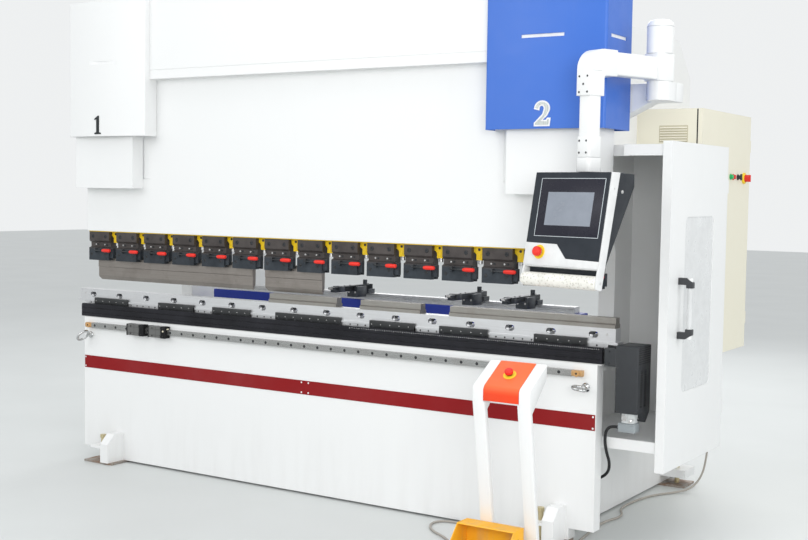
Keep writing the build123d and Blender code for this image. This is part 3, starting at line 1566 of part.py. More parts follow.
def foot_console():
    """Arch-shaped stand with the cover between its columns' heads."""
    proud = CONSOLE_SHEET + CONSOLE_STEP
    gap0 = STAND_LEFT + STAND_COLUMN
    gap1 = STAND_RIGHT - STAND_COLUMN
    x0 = gap0 - CONSOLE_OVERHANG
    x1 = gap1 + CONSOLE_OVERHANG
    stand = along_x(console_side(0), STAND_LEFT, x0) + along_x(console_side(0), x1, STAND_RIGHT)
    stand += along_x(console_side(proud), x0, x1)
    hollow_top = CONSOLE_LIP_Z + CONSOLE_LIP_LAP
    hollow = [
        (gap0, STAND_PANEL_H),
        (gap1, STAND_PANEL_H),
        (gap1, hollow_top),
        (gap0, hollow_top),
    ]
    stand -= along_y(hollow, STAND_FRONT_Y - STAND_DEPTH, STAND_TOP_Y + STAND_DEPTH)
    skin = along_x(console_side(CONSOLE_STEP), x0, x1) - along_x(console_side(proud), x0 - 1, x1 + 1)
    cover = skin & block(x0, x1, STAND_FRONT_Y, STAND_TOP_Y, CONSOLE_LIP_Z, STAND_TOP)
    cover += console_place() * post(0, 0, -COLLAR_H - 1, 0, CONSOLE_COLLAR_R)
    hole = console_place() * post(0, 0, -STAND_DEPTH / 2, STAND_DEPTH / 2, BUTTON_STEM_R + SLIDE_GAP)
    return [stand - cover - hole, cover - hole]


def console_place():
    """Where the emergency stop stands, on its collar on the sloping cover."""
    x = (STAND_LEFT + STAND_RIGHT) / 2
    on_slope = Pos(x, CONSOLE_BUTTON_Y, console_line(CONSOLE_BUTTON_Y)) * Rot(HEAD_SLOPE, 0, 0)
    return on_slope * Pos(0, 0, COLLAR_H - CONSOLE_STEP)


def console_estop():
    """The emergency stop on the foot console."""
    return console_place() * mushroom(CONSOLE_BUTTON_R)


def pedal_guard():
    """A hood over the foot pedal, open at the front, on a base plate."""
    x0 = PEDAL_LEFT
    x1 = x0 + PEDAL_W
    y1 = PEDAL_BACK
    y0 = y1 - PEDAL_DEPTH
    t = PEDAL_SHEET
    side = [
        (y1, 0),
        (y1, PEDAL_H),
        (y1 - PEDAL_ROOF, PEDAL_H),
        (y0, PEDAL_FRONT_H),
        (y0, 0),
    ]
    shape = along_x(side, x0, x1)
    inside = [
        (y1 - t, PEDAL_PLATE),
        (y1 - t, PEDAL_H - t),
        (y1 - PEDAL_ROOF - PEDAL_FRONT_H, PEDAL_H - t),
        (y0 - PEDAL_PLATE, PEDAL_H),
        (y0 - PEDAL_PLATE, PEDAL_PLATE),
    ]
    shape -= along_x(inside, x0 + t, x1 - t)
    shape += bar_x(x0 + 1, x1 - 1, y1 - PEDAL_AXLE_Y, PEDAL_PLATE + PEDAL_AXLE_Z, PEDAL_PIN_R)
    foot_y = STAND_FRONT_Y + STAND_RAKE
    lean = STAND_RAKE / STAND_KNEE_Z
    tongue = [
        (y1 - t, 0),
        (foot_y, 0),
        (foot_y - PEDAL_PLATE * lean, PEDAL_PLATE),
        (y1 - t, PEDAL_PLATE),
    ]
    shape += along_x(tongue, STAND_LEFT, x1)
    return shape + bar_x(x0 - PEDAL_GLAND_L, x0, y1 - PEDAL_GLAND_Y, PEDAL_GLAND_Z, PEDAL_GLAND_R)


def foot_pedal():
    """The treadle that turns on the guard's axle."""
    middle = PEDAL_LEFT + PEDAL_W / 2
    axle_y = PEDAL_BACK - PEDAL_AXLE_Y
    axle_z = PEDAL_PLATE + PEDAL_AXLE_Z
    front_z = axle_z + TREAD_UP + TREAD_RISE
    x0 = middle - TREAD_W / 2
    x1 = middle + TREAD_W / 2
    outline = [
        (axle_y, axle_z + TREAD_UP),
        (axle_y - TREAD_L, front_z),
        (axle_y - TREAD_L, front_z - TREAD_T),
        (axle_y, axle_z - TREAD_UNDER),
    ]
    shape = along_x(outline, x0, x1) + bar_x(x0, x1, axle_y, axle_z, TREAD_HUB_R)
    return shape - bar_x(x0 - 1, x1 + 1, axle_y, axle_z, PEDAL_PIN_R + PIN_FIT)


# Back gauge
def gauge_base():
    """Brackets on the frames' inner faces, with the spindles' cross tie."""
    x1 = FRAME_INNER
    x0 = x1 - GAUGE_BRACKET_W
    y0 = GAUGE_BRACKET_FRONT
    y1 = y0 + GAUGE_BRACKET_L
    z1 = GAUGE_TOP - GAUGE_H - SEAT_GAP
    z0 = z1 - GAUGE_BRACKET_H
    shelf = z1 - TRACK_H
    outline = [(x1, z0 - GAUGE_BRACKET_SLOPE), (x1, shelf), (x0, shelf), (x0, z0)]
    bracket = along_y(outline, y0, y1)
    bracket += block(x0 + TRACK_IN, x0 + TRACK_IN + TRACK_W, y0, y1, shelf, z1)
    tie = block(-x0, x0, y1 - GAUGE_TIE_D, y1, z0, shelf)
    return both_sides(bracket) + [tie]


def gauge_beam():
    """The blue cross beam that travels on the brackets' tracks."""
    half = GAUGE_HALF
    z0 = GAUGE_TOP - GAUGE_H
    beam = block(-half, half, GAUGE_Y, GAUGE_BACK, z0, GAUGE_TOP)
    beam = fillet(beam.edges().filter_by(Axis.X), BEAM_R)
    shoe = block(half - SHOE_LAP, FRAME_INNER - SHOE_GAP, GAUGE_Y, GAUGE_BACK, z0, z0 + SHOE_H)
    for piece in both_sides(shoe):
        beam += piece
    return beam


def gauge_rail():
    """The finger rail that rises above the beam."""
    half = GAUGE_HALF - GAUGE_RAIL_INSET
    z0 = GAUGE_TOP + SEAT_GAP
    z1 = z0 + GAUGE_RAIL_H
    y0 = GAUGE_Y + GAUGE_RAIL_Y
    y1 = y0 + GAUGE_RAIL_D
    low, low_in, high_in, high = [z0 + rise for rise in RAIL_GROOVE]
    outline = [
        (y0, z0),
        (y0, low),
        (y0 + RAIL_GROOVE_D, low_in),
        (y0 + RAIL_GROOVE_D, high_in),
        (y0, high),
        (y0, z1),
        (y1, z1),
        (y1, high),
        (y1 - RAIL_GROOVE_D, high_in),
        (y1 - RAIL_GROOVE_D, low_in),
        (y1, low),
        (y1, z0),
    ]
    return along_x(outline, -half, half)


def gauge_finger(centre):
    """A stop finger with its slide block and clamping knob."""
    half = FINGER_W / 2
    z0 = FINGER_Z0 + FINGER_RISE
    z1 = z0 + FINGER_T
    y0 = FINGER_TIP_Y
    y1 = y0 + FINGER_L
    outline = [
        (y0, z0 + FINGER_NOSE_UP),
        (y0, z1 - FINGER_NOSE_DOWN),
        (y0 + FINGER_NOSE, z1),
        (y1, z1),
        (y1, z0),
        (y0 + FINGER_NOSE, z0),
    ]
    shape = along_x(outline, centre - half, centre + half)
    block_half = FINGER_BLOCK_W / 2
    front = GAUGE_Y + GAUGE_RAIL_Y - FINGER_BLOCK_OVER
    back = GAUGE_Y + GAUGE_RAIL_Y + GAUGE_RAIL_D - FINGER_BLOCK_SHORT
    shape += block(centre - block_half, centre + block_half, front, back, FINGER_Z0, z0)
    foot_half = block_half - FINGER_BLOCK_SHORT
    foot_front = GAUGE_Y + GAUGE_RAIL_Y - FINGER_FOOT_L
    foot_back = GAUGE_Y + GAUGE_RAIL_Y - FINGER_FOOT_LAP
    foot_z = FINGER_Z0 - FINGER_FOOT_DROP
    shape += block(centre - foot_half, centre + foot_half, foot_front, foot_back, foot_z, z0)
    return shape + post(centre, y1 - KNOB_Y, z1, z1 + KNOB_H, KNOB_R)


# Cords
MOTOR_CABLE = [
    (1612, -16, 515.5),
    (1588, -16, 515.5),
    (1568, -16, 503),
    (1558, -14, 477),
    (1556, -9, 440),
    (1560, 0, 398),
    (1566, 22, 352),
    (1556, 40, 308),
    (1520, 56, 274),
    (1470, 66, 256),
    (1412, 70, 248),
    (1357, 70, 248),
]
CONSOLE_CABLE_D = 10
CONSOLE_CABLE = [
    (1205, -632, 20),
    (1162, -632, 20),
    (1105, -608, 9),
    (1060, -545, 5.3),
    (1040, -450, 5.3),
    (1008, -365, 5.3),
    (940, -310, 5.3),
    (868, -270, 5.3),
    (812, -210, 5.3),
    (790, -140, 5.3),
    (822, -92, 5.3),
    (890, -84, 5.3),
    (970, -116, 5.3),
    (1060, -180, 5.3),
    (1160, -228, 5.3),
    (1270, -244, 5.3),
    (1370, -236, 5.3),
    (1440, -190, 5.3),
    (1462, -110, 5.3),
    (1456, -10, 5.3),
    (1440, 110, 5.3),
    (1422, 230, 5.3),
    (1424, 340, 5.3),
    (1446, 420, 5.3),
    (1440, 490, 5.3),
    (1398, 560, 5.3),
    (1384, 650, 5.3),
    (1390, 760, 5.3),
    (1405, 870, 5.3),
    (1440, 970, 5.3),
    (1495, 1055, 5.3),
    (1550, 1120, 20),
    (1585, 1168, 80),
    (1597, 1192, 170),
    (1602, 1200, 290),
    (1598, 1202, 420),
    (1600, 1202, 545),
    (1600, 1200, 630),
    (1600, 1200, 695),
]


def cord(name, points, diameter):
    """A plain tube along straight runs joined by tangent arcs."""
    vectors = [Vector(*point) for point in points]
    radii = []
    for before, here, after in zip(vectors, vectors[1:], vectors[2:]):
        run_in = here - before
        run_out = after - here
        turn = math.radians(run_in.get_angle(run_out))
        radii.append(0.45 * min(run_in.length, run_out.length) / math.tan(turn / 2))
    path = FilletPolyline(*points, radius=radii)
    start = Plane(origin=points[0], z_dir=vectors[1] - vectors[0])
    tube = sweep(start * Circle(diameter / 2), path=path)
    expected = math.pi * diameter ** 2 / 4 * path.length
    print(name, "length", round(path.length), "volume share", round(tube.volume / expected, 4))
    print(name, "radii", [round(radius) for radius in radii])
    return tube


def main():
    os.makedirs("parts", exist_ok=True)
    centres = [clamp_x(index) for index in range(CLAMP_COUNT)]
    save("side_frames", side_frames())
    save("bed", bed())
    save("levelling_feet", levelling_feet())
    save("stripe_plates", stripe_plates())
    save("linear_rail", linear_rail())
    for side, centre in zip(("left", "right"), CARRIAGE_CENTRES):
        save(f"rail_carriage_{side}", rail_carriage(centre))
    save("eye_bolts", eye_bolts())
    save("table_base", table_base())
    save("crowning_rail", crowning_rail())
    save("die_clamp_blocks", die_clamp_blocks())
    save("dies", dies())
    save("crowning_cover", crowning_cover())
    save("crowning_drive", crowning_drive())
    save("ram", ram())
    save("ram_rail", ram_rail())
    save("punch_clamps", [punch_clamp(centre) for centre in centres])
    for index, centre in enumerate(centres):
        save(f"clamp_lever_{index + 1:02d}", clamp_lever(centre))
    save("punches", punches())
    save("cylinders", cylinders())
    save("piston_rods", piston_rods())
    save("cylinder_covers", cylinder_covers())
    save("rod_covers", rod_covers())
    save("top_front_cover", top_front_cover())
    save("oil_tank", oil_tank())
    save("guard_box", guard_box())
    save("guard_door", guard_door())
    save("cabinet", cabinet())
    save("cabinet_door", cabinet_door())
    save("cabinet_estop", cabinet_estop())
    save("arm_bracket", arm_bracket())
    save("swivel_arm", swivel_arm())
    save("pendant", pendant())
    save("pendant_estop", pendant_estop())
    save("foot_console", foot_console())
    save("console_estop", console_estop())
    save("pedal_guard", pedal_guard())
    save("foot_pedal", foot_pedal())
    save("gauge_base", gauge_base())
    save("gauge_beam", gauge_beam())
    save("gauge_rail", gauge_rail())
    for index, centre in enumerate(FINGER_CENTRES):
        save(f"gauge_finger_{index + 1}", gauge_finger(centre))
    save("motor_cable", cord("motor_cable", MOTOR_CABLE, CABLE_D))
    save("console_cable", cord("console_cable", CONSOLE_CABLE, CONSOLE_CABLE_D))


main()
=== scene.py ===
from math import cos, degrees, pi, radians, sin, tan

import bmesh
import bpy
from mathutils import Matrix, Vector


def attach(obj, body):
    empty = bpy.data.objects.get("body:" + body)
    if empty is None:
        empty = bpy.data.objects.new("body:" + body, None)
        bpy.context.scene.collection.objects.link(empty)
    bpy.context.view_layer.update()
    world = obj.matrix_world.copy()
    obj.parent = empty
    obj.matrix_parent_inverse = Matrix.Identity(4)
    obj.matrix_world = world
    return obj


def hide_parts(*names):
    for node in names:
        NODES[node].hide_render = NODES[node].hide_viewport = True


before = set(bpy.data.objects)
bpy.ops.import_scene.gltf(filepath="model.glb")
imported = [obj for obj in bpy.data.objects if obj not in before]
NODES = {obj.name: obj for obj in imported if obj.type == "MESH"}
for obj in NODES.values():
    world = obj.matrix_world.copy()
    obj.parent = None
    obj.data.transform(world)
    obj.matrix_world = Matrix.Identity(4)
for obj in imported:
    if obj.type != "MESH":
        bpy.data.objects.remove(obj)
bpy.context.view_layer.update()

SCENE = bpy.context.scene
OUT, UP, RIGHT = (0, -1, 0), (0, 0, 1), (1, 0, 0)  # towards the front, the ceiling, the cabinet
SHARP_ANGLE = 38  # degrees between faces that shade as an edge


# Camera at the photograph's place
def camera():
    yaw, pitch, roll = (radians(turn) for turn in (32.615, 3.59, -0.859))
    forward = Vector((-sin(yaw) * cos(pitch), cos(yaw) * cos(pitch), -sin(pitch)))
    level = Vector((cos(yaw), sin(yaw), 0))
    down = forward.cross(level)
    right = cos(roll) * level + sin(roll) * down
    low = -sin(roll) * level + cos(roll) * down
    data = bpy.data.cameras.new("camera")
    data.sensor_fit = "HORIZONTAL"
    data.sensor_width = 36
    data.lens = 1229.3 / 808 * 36  # focal length and picture width, in pixels
    data.clip_end = 100
    cam = bpy.data.objects.new("camera", data)
    SCENE.collection.objects.link(cam)
    matrix = Matrix((right, -low, -forward)).transposed().to_4x4()
    matrix.translation = Vector((3.6129, -4.8276, 1.4865))
    cam.matrix_world = matrix
    SCENE.camera = cam


camera()
SCENE.view_settings.view_transform = "Standard"


# Shader building
class Shade:
    """Builds one Principled material from procedural nodes."""

    def __init__(self, name):
        self.material = bpy.data.materials.new(name)
        self.material.use_nodes = True
        self.tree = self.material.node_tree
        self.tree.nodes.clear()
        self.bsdf = self.node("ShaderNodeBsdfPrincipled")
        self.node("ShaderNodeOutputMaterial", Surface=self.bsdf.outputs[0])
        self.coords = self.node("ShaderNodeTexCoord").outputs["Object"]

    def put(self, socket, value):
        """Links a socket to another, or sets its own value."""
        if isinstance(value, bpy.types.NodeSocket):
            self.tree.links.new(value, socket)
        elif isinstance(value, tuple) and len(value) == 3 and socket.type == "RGBA":
            socket.default_value = (*value, 1)
        else:
            socket.default_value = value

    def node(self, kind, **values):
        """Adds a shader node and fills its inputs."""
        node = self.tree.nodes.new(kind)
        for name, value in values.items():
            self.put(node.inputs[name.replace("_", " ")], value)
        return node

    def math(self, operation, a, b):
        node = self.node("ShaderNodeMath")
        node.operation = operation
        self.put(node.inputs[0], a)
        self.put(node.inputs[1], b)
        return node.outputs[0]

    def times(self, a, b):
        return self.math("MULTIPLY", a, b)

    def axis(self, name):
        return self.node("ShaderNodeSeparateXYZ", Vector=self.coords).outputs[name]

    def stretched(self, stretch):
        return self.node("ShaderNodeMapping", Vector=self.coords, Scale=stretch).outputs[0]

    def noise(self, scale, detail=3.0, roughness=0.5, stretch=(1, 1, 1), distortion=0.0):
        return self.node("ShaderNodeTexNoise", Vector=self.stretched(stretch), Scale=scale, Detail=detail,
                         Roughness=roughness, Distortion=distortion).outputs["Fac"]

    def span(self, value, low, high, to_low=0.0, to_high=1.0):
        """Maps the values from low to high onto to_low to to_high."""
        node = self.node("ShaderNodeMapRange")
        for socket, item in zip(node.inputs, (value, low, high, to_low, to_high)):
            self.put(socket, item)
        return node.outputs[0]

    def mix(self, factor, a, b):
        node = self.node("ShaderNodeMix")
        node.data_type = "RGBA"
        for socket, item in zip((node.inputs[0], node.inputs[6], node.inputs[7]), (factor, a, b)):
            self.put(socket, item)
        return node.outputs[2]

    def over(self, under, colour, mask, low, high, amount=None):
        """Lays a colour over another where a mask runs from low to high."""
        share = self.span(mask, low, high)
        return self.mix(share if amount is None else self.times(share, amount), under, colour)

    def soft_edges(self, radius):
        node = self.node("ShaderNodeBevel", Radius=radius)
        node.samples = 4
        return node.outputs[0]

    def edge_mask(self, radius, low=0.02, high=0.25):
        """1 near an edge, 0 on flats."""
        dot = self.node("ShaderNodeVectorMath")
        dot.operation = "DOT_PRODUCT"
        self.put(dot.inputs[0], self.soft_edges(radius))
        self.put(dot.inputs[1], self.node("ShaderNodeNewGeometry").outputs["Normal"])
        return self.span(self.math("SUBTRACT", 1.0, dot.outputs["Value"]), low, high)

    def rubbed(self, tone, colour, amount, radius, full=0.22, patches=(70, 0.38, 0.7)):
        """Wears the edges in patches: noise scale, and where a patch begins and is full."""
        grain, low, high = patches
        worn = self.times(self.edge_mask(radius, 0.02, full), self.span(self.noise(grain, 4, 0.7), low, high))
        return self.mix(self.times(worn, amount), tone, colour)

    def bump(self, height, distance, strength, normal):
        node = self.node("ShaderNodeBump", Height=height, Distance=distance, Strength=strength)
        if normal is not None:
            self.put(node.inputs["Normal"], normal)
        return node.outputs[0]

    def finish(self, tone, rough, grain, depth, strength, edge, metallic=0.0, gloss=0.5, wave=False):
        """Joins colour, roughness and grain on softened edges, and gives back the material."""
        normal = self.bump(grain, depth, strength, self.soft_edges(edge) if edge else None)
        if wave:
            normal = self.bump(self.noise(7, 2, 0.5), 0.0016, 0.25, normal)
        values = {"Base Color": tone, "Roughness": rough, "Metallic": metallic,
                  "Specular IOR Level": gloss, "Normal": normal}
        for name, value in values.items():
            self.put(self.bsdf.inputs[name], value)
        return self.material


def scaled(colour, factor):
    return tuple(min(1.0, channel * factor) for channel in colour)


def painted(name, colour, roughness=0.34, grime=0.16, gloss=0.45, peel=0.00005, second=None):
    """Powder coat or enamel: orange peel, soft edges, faint streaks and floor dust."""
    s = Shade(name)
    edge = 0.0016
    body = s.over(colour, second, s.axis("X"), -0.1, 0.1) if second else colour
    broad = s.noise(2.3, 4, 0.55)
    streak = s.noise(5, 5, 0.6, stretch=(3, 3, 0.35))
    pale = s.over(body, s.mix(0.5, body, (0.82, 0.83, 0.84)), broad, 0.35, 0.7, 0.5)
    tone = s.over(body, pale, broad, 0.3, 0.75, 0.10)
    dust = s.times(s.span(s.axis("Z"), 0.0, 0.42, 1.0, 0.0), s.span(streak, 0.42, 0.72))
    tone = s.mix(s.times(dust, grime * 1.6), tone, (0.36, 0.33, 0.29))
    tone = s.over(tone, scaled(colour, 0.62), streak, 0.6, 0.86, grime * 0.5)
    tone = s.rubbed(tone, scaled(colour, 0.55), 0.35, edge * 1.6, 0.25, (38, 0.5, 0.78))
    rough = s.span(s.noise(14, 4, 0.6), 0.3, 0.75, roughness - 0.05, roughness + 0.09)
    return s.finish(tone, rough, s.noise(520, 2, 0.5), peel, 0.8, edge, gloss=gloss, wave=True)


def steel(name, colour, dark, roughness=0.3, stain=0.4, grain=(0.5, 60, 60)):
    """Ground or milled steel with lay, stains, wiped oil and bright edges."""
    s = Shade(name)
    edge = 0.0006
    lay = s.noise(9, 4, 0.65, stretch=grain)
    fine = s.noise(60, 3, 0.6, stretch=grain)
    cloud = s.noise(6, 5, 0.65, distortion=0.6)
    tone = s.over(colour, s.mix(0.45, colour, dark), lay, 0.3, 0.72)
    tone = s.over(tone, dark, cloud, 0.46, 0.74, stain)
    tone = s.over(tone, scaled(dark, 0.6), s.noise(46, 4, 0.7), 0.62, 0.8, stain * 0.8)
    tone = s.mix(s.times(s.edge_mask(edge * 2, 0.03, 0.3), 0.6), tone, scaled(colour, 1.25))
    rough = s.span(s.math("ADD", s.times(fine, 0.6), s.times(cloud, 0.4)), 0.3, 0.7,
                   roughness - 0.08, roughness + 0.16)
    return s.finish(tone, rough, fine, 0.00003, 0.7, edge, metallic=0.88)


def black_oxide(name, colour, roughness=0.36, wear=0.4, metallic=0.55, edge=0.0008):
    """Blackened steel: brownish clouds, rubbed pale edges, fine milling."""
    s = Shade(name)
    tone = s.over(colour, scaled(colour, 1.9), s.noise(11, 5, 0.65), 0.35, 0.7)
    tone = s.rubbed(tone, (0.32, 0.31, 0.30), wear, edge * 1.8)
    rough = s.span(s.noise(24, 4, 0.6), 0.3, 0.75, roughness - 0.06, roughness + 0.14)
    return s.finish(tone, rough, s.noise(320, 3, 0.6), 0.00004, 0.6, edge, metallic)


def plastic(name, colour, roughness=0.4, gloss=0.3, texture=260, depth=0.00006):
    """Moulded plastic with a fine grain and handled, duller patches."""
    s = Shade(name)
    edge = 0.0012
    cloud = s.noise(18, 4, 0.6)
    tone = s.over(colour, scaled(colour, 0.7), cloud, 0.35, 0.75, 0.35)
    tone = s.mix(s.times(s.edge_mask(edge * 1.5), 0.25), tone, s.mix(0.4, colour, (0.75, 0.75, 0.75)))
    rough = s.span(cloud, 0.3, 0.75, roughness - 0.06, roughness + 0.12)
    return s.finish(tone, rough, s.noise(texture, 3, 0.6), depth, 0.7, edge, gloss=gloss)


def chrome(name, colour, roughness):
    """Bright plating with wiped smears."""
    s = Shade(name)
    tone = s.over(colour, scaled(colour, 0.75), s.noise(24, 4, 0.6, stretch=(1, 1, 3)), 0.4, 0.75)
    rough = s.span(s.noise(40, 4, 0.65), 0.3, 0.75, roughness, roughness + 0.14)
    return s.finish(tone, rough, s.noise(220, 2, 0.5), 0.00002, 0.5, 0.0005, metallic=1.0)


WHITE = (0.80, 0.805, 0.80)


def padded_roll(name):
    """Soft cream skin with rows of small dimples, painted darker inside each dimple as shade."""
    s = Shade(name)
    voronoi = s.node("ShaderNodeTexVoronoi", Vector=s.stretched((1, 1, 1)), Scale=95)
    dimples = voronoi.outputs["Distance"]
    cloud = s.noise(20, 4, 0.6)
    # painted shade: the cream darkens towards the middle of each dimple
    tone = s.over((0.52, 0.50, 0.44), (0.82, 0.81, 0.75), dimples, 0.05, 0.45)
    tone = s.over(tone, (0.45, 0.43, 0.38), cloud, 0.45, 0.75, 0.3)
    rough = s.span(cloud, 0.3, 0.75, 0.5, 0.68)
    return s.finish(tone, rough, s.span(dimples, 0.0, 0.4), 0.0022, 0.8, None)


def console_coat(name):
    """White stand, scuffed near the floor."""
    s = Shade(name)
    streak = s.noise(6, 5, 0.6, stretch=(3, 3, 0.35))
    white = s.over(WHITE, (0.45, 0.44, 0.42), streak, 0.55, 0.8, 0.12)
    scuff = s.times(s.span(s.axis("Z"), 0.0, 0.16, 1.0, 0.0), s.span(streak, 0.4, 0.65))
    white = s.mix(s.times(scuff, 0.5), white, (0.30, 0.27, 0.23))
    rough = s.span(s.noise(7, 4, 0.6), 0.3, 0.75, 0.3, 0.42)
    return s.finish(white, rough, s.noise(520, 2, 0.5), 0.00005, 0.8, 0.002)


def orange_coat(name):
    """Orange cover sheet, painted lighter on its top as light and darker and redder down its front lip as shade."""
    s = Shade(name)
    cloud = s.noise(7, 4, 0.6)
    # painted light and shade: lighter orange above 0.748 m on the lit top, darker red below 0.715 m down the shaded
    # front lip
    orange = s.over((0.80, 0.062, 0.016), (0.90, 0.155, 0.050), s.axis("Z"), 0.715, 0.748)
    orange = s.over(orange, (0.74, 0.10, 0.035), cloud, 0.4, 0.75, 0.2)
    rough = s.span(cloud, 0.3, 0.75, 0.36, 0.48)
    return s.finish(orange, rough, s.noise(520, 2, 0.5), 0.00005, 0.8, 0.001, gloss=0.25)


def zinc_and_plate(name):
    """Yellow passivated bolts over bare floor plates with rust blooms."""
    s = Shade(name)
    plate = s.span(s.axis("Z"), 0.0100, 0.0103, 1.0, 0.0)
    cloud = s.noise(16, 5, 0.65, distortion=0.5)
    fine = s.noise(120, 4, 0.65)
    zinc = s.over((0.68, 0.60, 0.36), (0.50, 0.42, 0.27), cloud, 0.35, 0.7)
    bare = s.over((0.40, 0.37, 0.34), (0.25, 0.135, 0.07), cloud, 0.4, 0.68)
    bare = s.over(bare, (0.14, 0.08, 0.05), fine, 0.5, 0.75, 0.5)
    rough = s.mix(plate, s.span(fine, 0.3, 0.7, 0.28, 0.45), s.span(cloud, 0.35, 0.7, 0.42, 0.8))
    metal = s.mix(plate, s.math("ADD", 0.9, 0.0), s.span(cloud, 0.4, 0.68, 0.8, 0.2))
    return s.finish(s.mix(plate, zinc, bare), rough, fine, 0.00012, 0.7, 0.0012, metal)


def finger_coat(name):
    """Blued stop bars and slide blocks with rubbed edges."""
    s = Shade(name)
    cloud = s.noise(22, 4, 0.6)
    tone = s.over((0.036, 0.042, 0.052), (0.085, 0.092, 0.105), cloud, 0.35, 0.7)
    tone = s.rubbed(tone, (0.34, 0.33, 0.32), 0.5, 0.0012, 0.25)
    rough = s.span(cloud, 0.3, 0.75, 0.34, 0.5)
    return s.finish(tone, rough, s.noise(240, 3, 0.6), 0.00004, 0.6, 0.0008, metallic=0.4)


def clamp_coat(name):
    """Blackened clamps: warm brownish heads over cooler slate jaws, with rubbed edges."""
    s = Shade(name)
    cloud = s.noise(11, 5, 0.65)
    warm = s.over((0.052, 0.045, 0.043), (0.085, 0.074, 0.070), cloud, 0.35, 0.7)
    cool = s.over((0.022, 0.028, 0.035), (0.046, 0.055, 0.066), cloud, 0.35, 0.7)
    tone = s.rubbed(s.over(cool, warm, s.axis("Z"), 1.150, 1.165), (0.32, 0.31, 0.30), 0.35, 0.0014)
    rough = s.span(s.noise(24, 4, 0.6), 0.3, 0.75, 0.36, 0.52)
    return s.finish(tone, rough, s.noise(320, 3, 0.6), 0.00004, 0.6, 0.0008, metallic=0.25, gloss=0.3)


def rail_coat(name):
    """Ground guide rail with amber plastic stops at its ends."""
    s = Shade(name)
    x = s.axis("X")
    stop = s.math("MAXIMUM", s.span(x, -1.4562, -1.4559, 1.0, 0.0), s.span(x, 1.4280, 1.4283))
    fine = s.noise(60, 3, 0.6, stretch=(0.5, 60, 60))
    tone = s.over((0.47, 0.475, 0.47), (0.30, 0.30, 0.29), s.noise(9, 4, 0.65, stretch=(0.5, 60, 60)), 0.3, 0.72)
    tone = s.over(tone, (0.30, 0.27, 0.25), s.noise(6, 5, 0.65, distortion=0.6), 0.46, 0.74, 0.3)
    amber = s.over((0.52, 0.30, 0.12), (0.40, 0.22, 0.085), s.noise(24, 3), 0.35, 0.7)
    metal = s.math("SUBTRACT", 0.9, s.times(stop, 0.9))
    return s.finish(s.mix(stop, tone, amber), s.span(fine, 0.3, 0.7, 0.18, 0.36), fine, 0.00003, 0.7, 0.0006, metal)


def profile_coat(name):
    """Black anodised profile over a pale packing strip."""
    s = Shade(name)
    strip = s.span(s.axis("Z"), 0.7800, 0.7803, 1.0, 0.0)
    drawn = s.noise(30, 4, 0.65, stretch=(0.3, 40, 40))
    tone = s.over((0.010, 0.010, 0.013), (0.022, 0.022, 0.028), s.noise(5, 4, 0.6), 0.35, 0.7)
    tone = s.rubbed(tone, (0.34, 0.34, 0.35), 0.35, 0.0012, patches=(60, 0.4, 0.7))
    pale = s.over((0.70, 0.70, 0.69), (0.56, 0.56, 0.55), drawn, 0.4, 0.7)
    metal = s.math("SUBTRACT", 0.35, s.times(strip, 0.35))
    return s.finish(s.mix(strip, tone, pale), s.span(drawn, 0.3, 0.7, 0.28, 0.44), drawn, 0.00004, 0.6, 0.0006,
                    metal, 0.3)


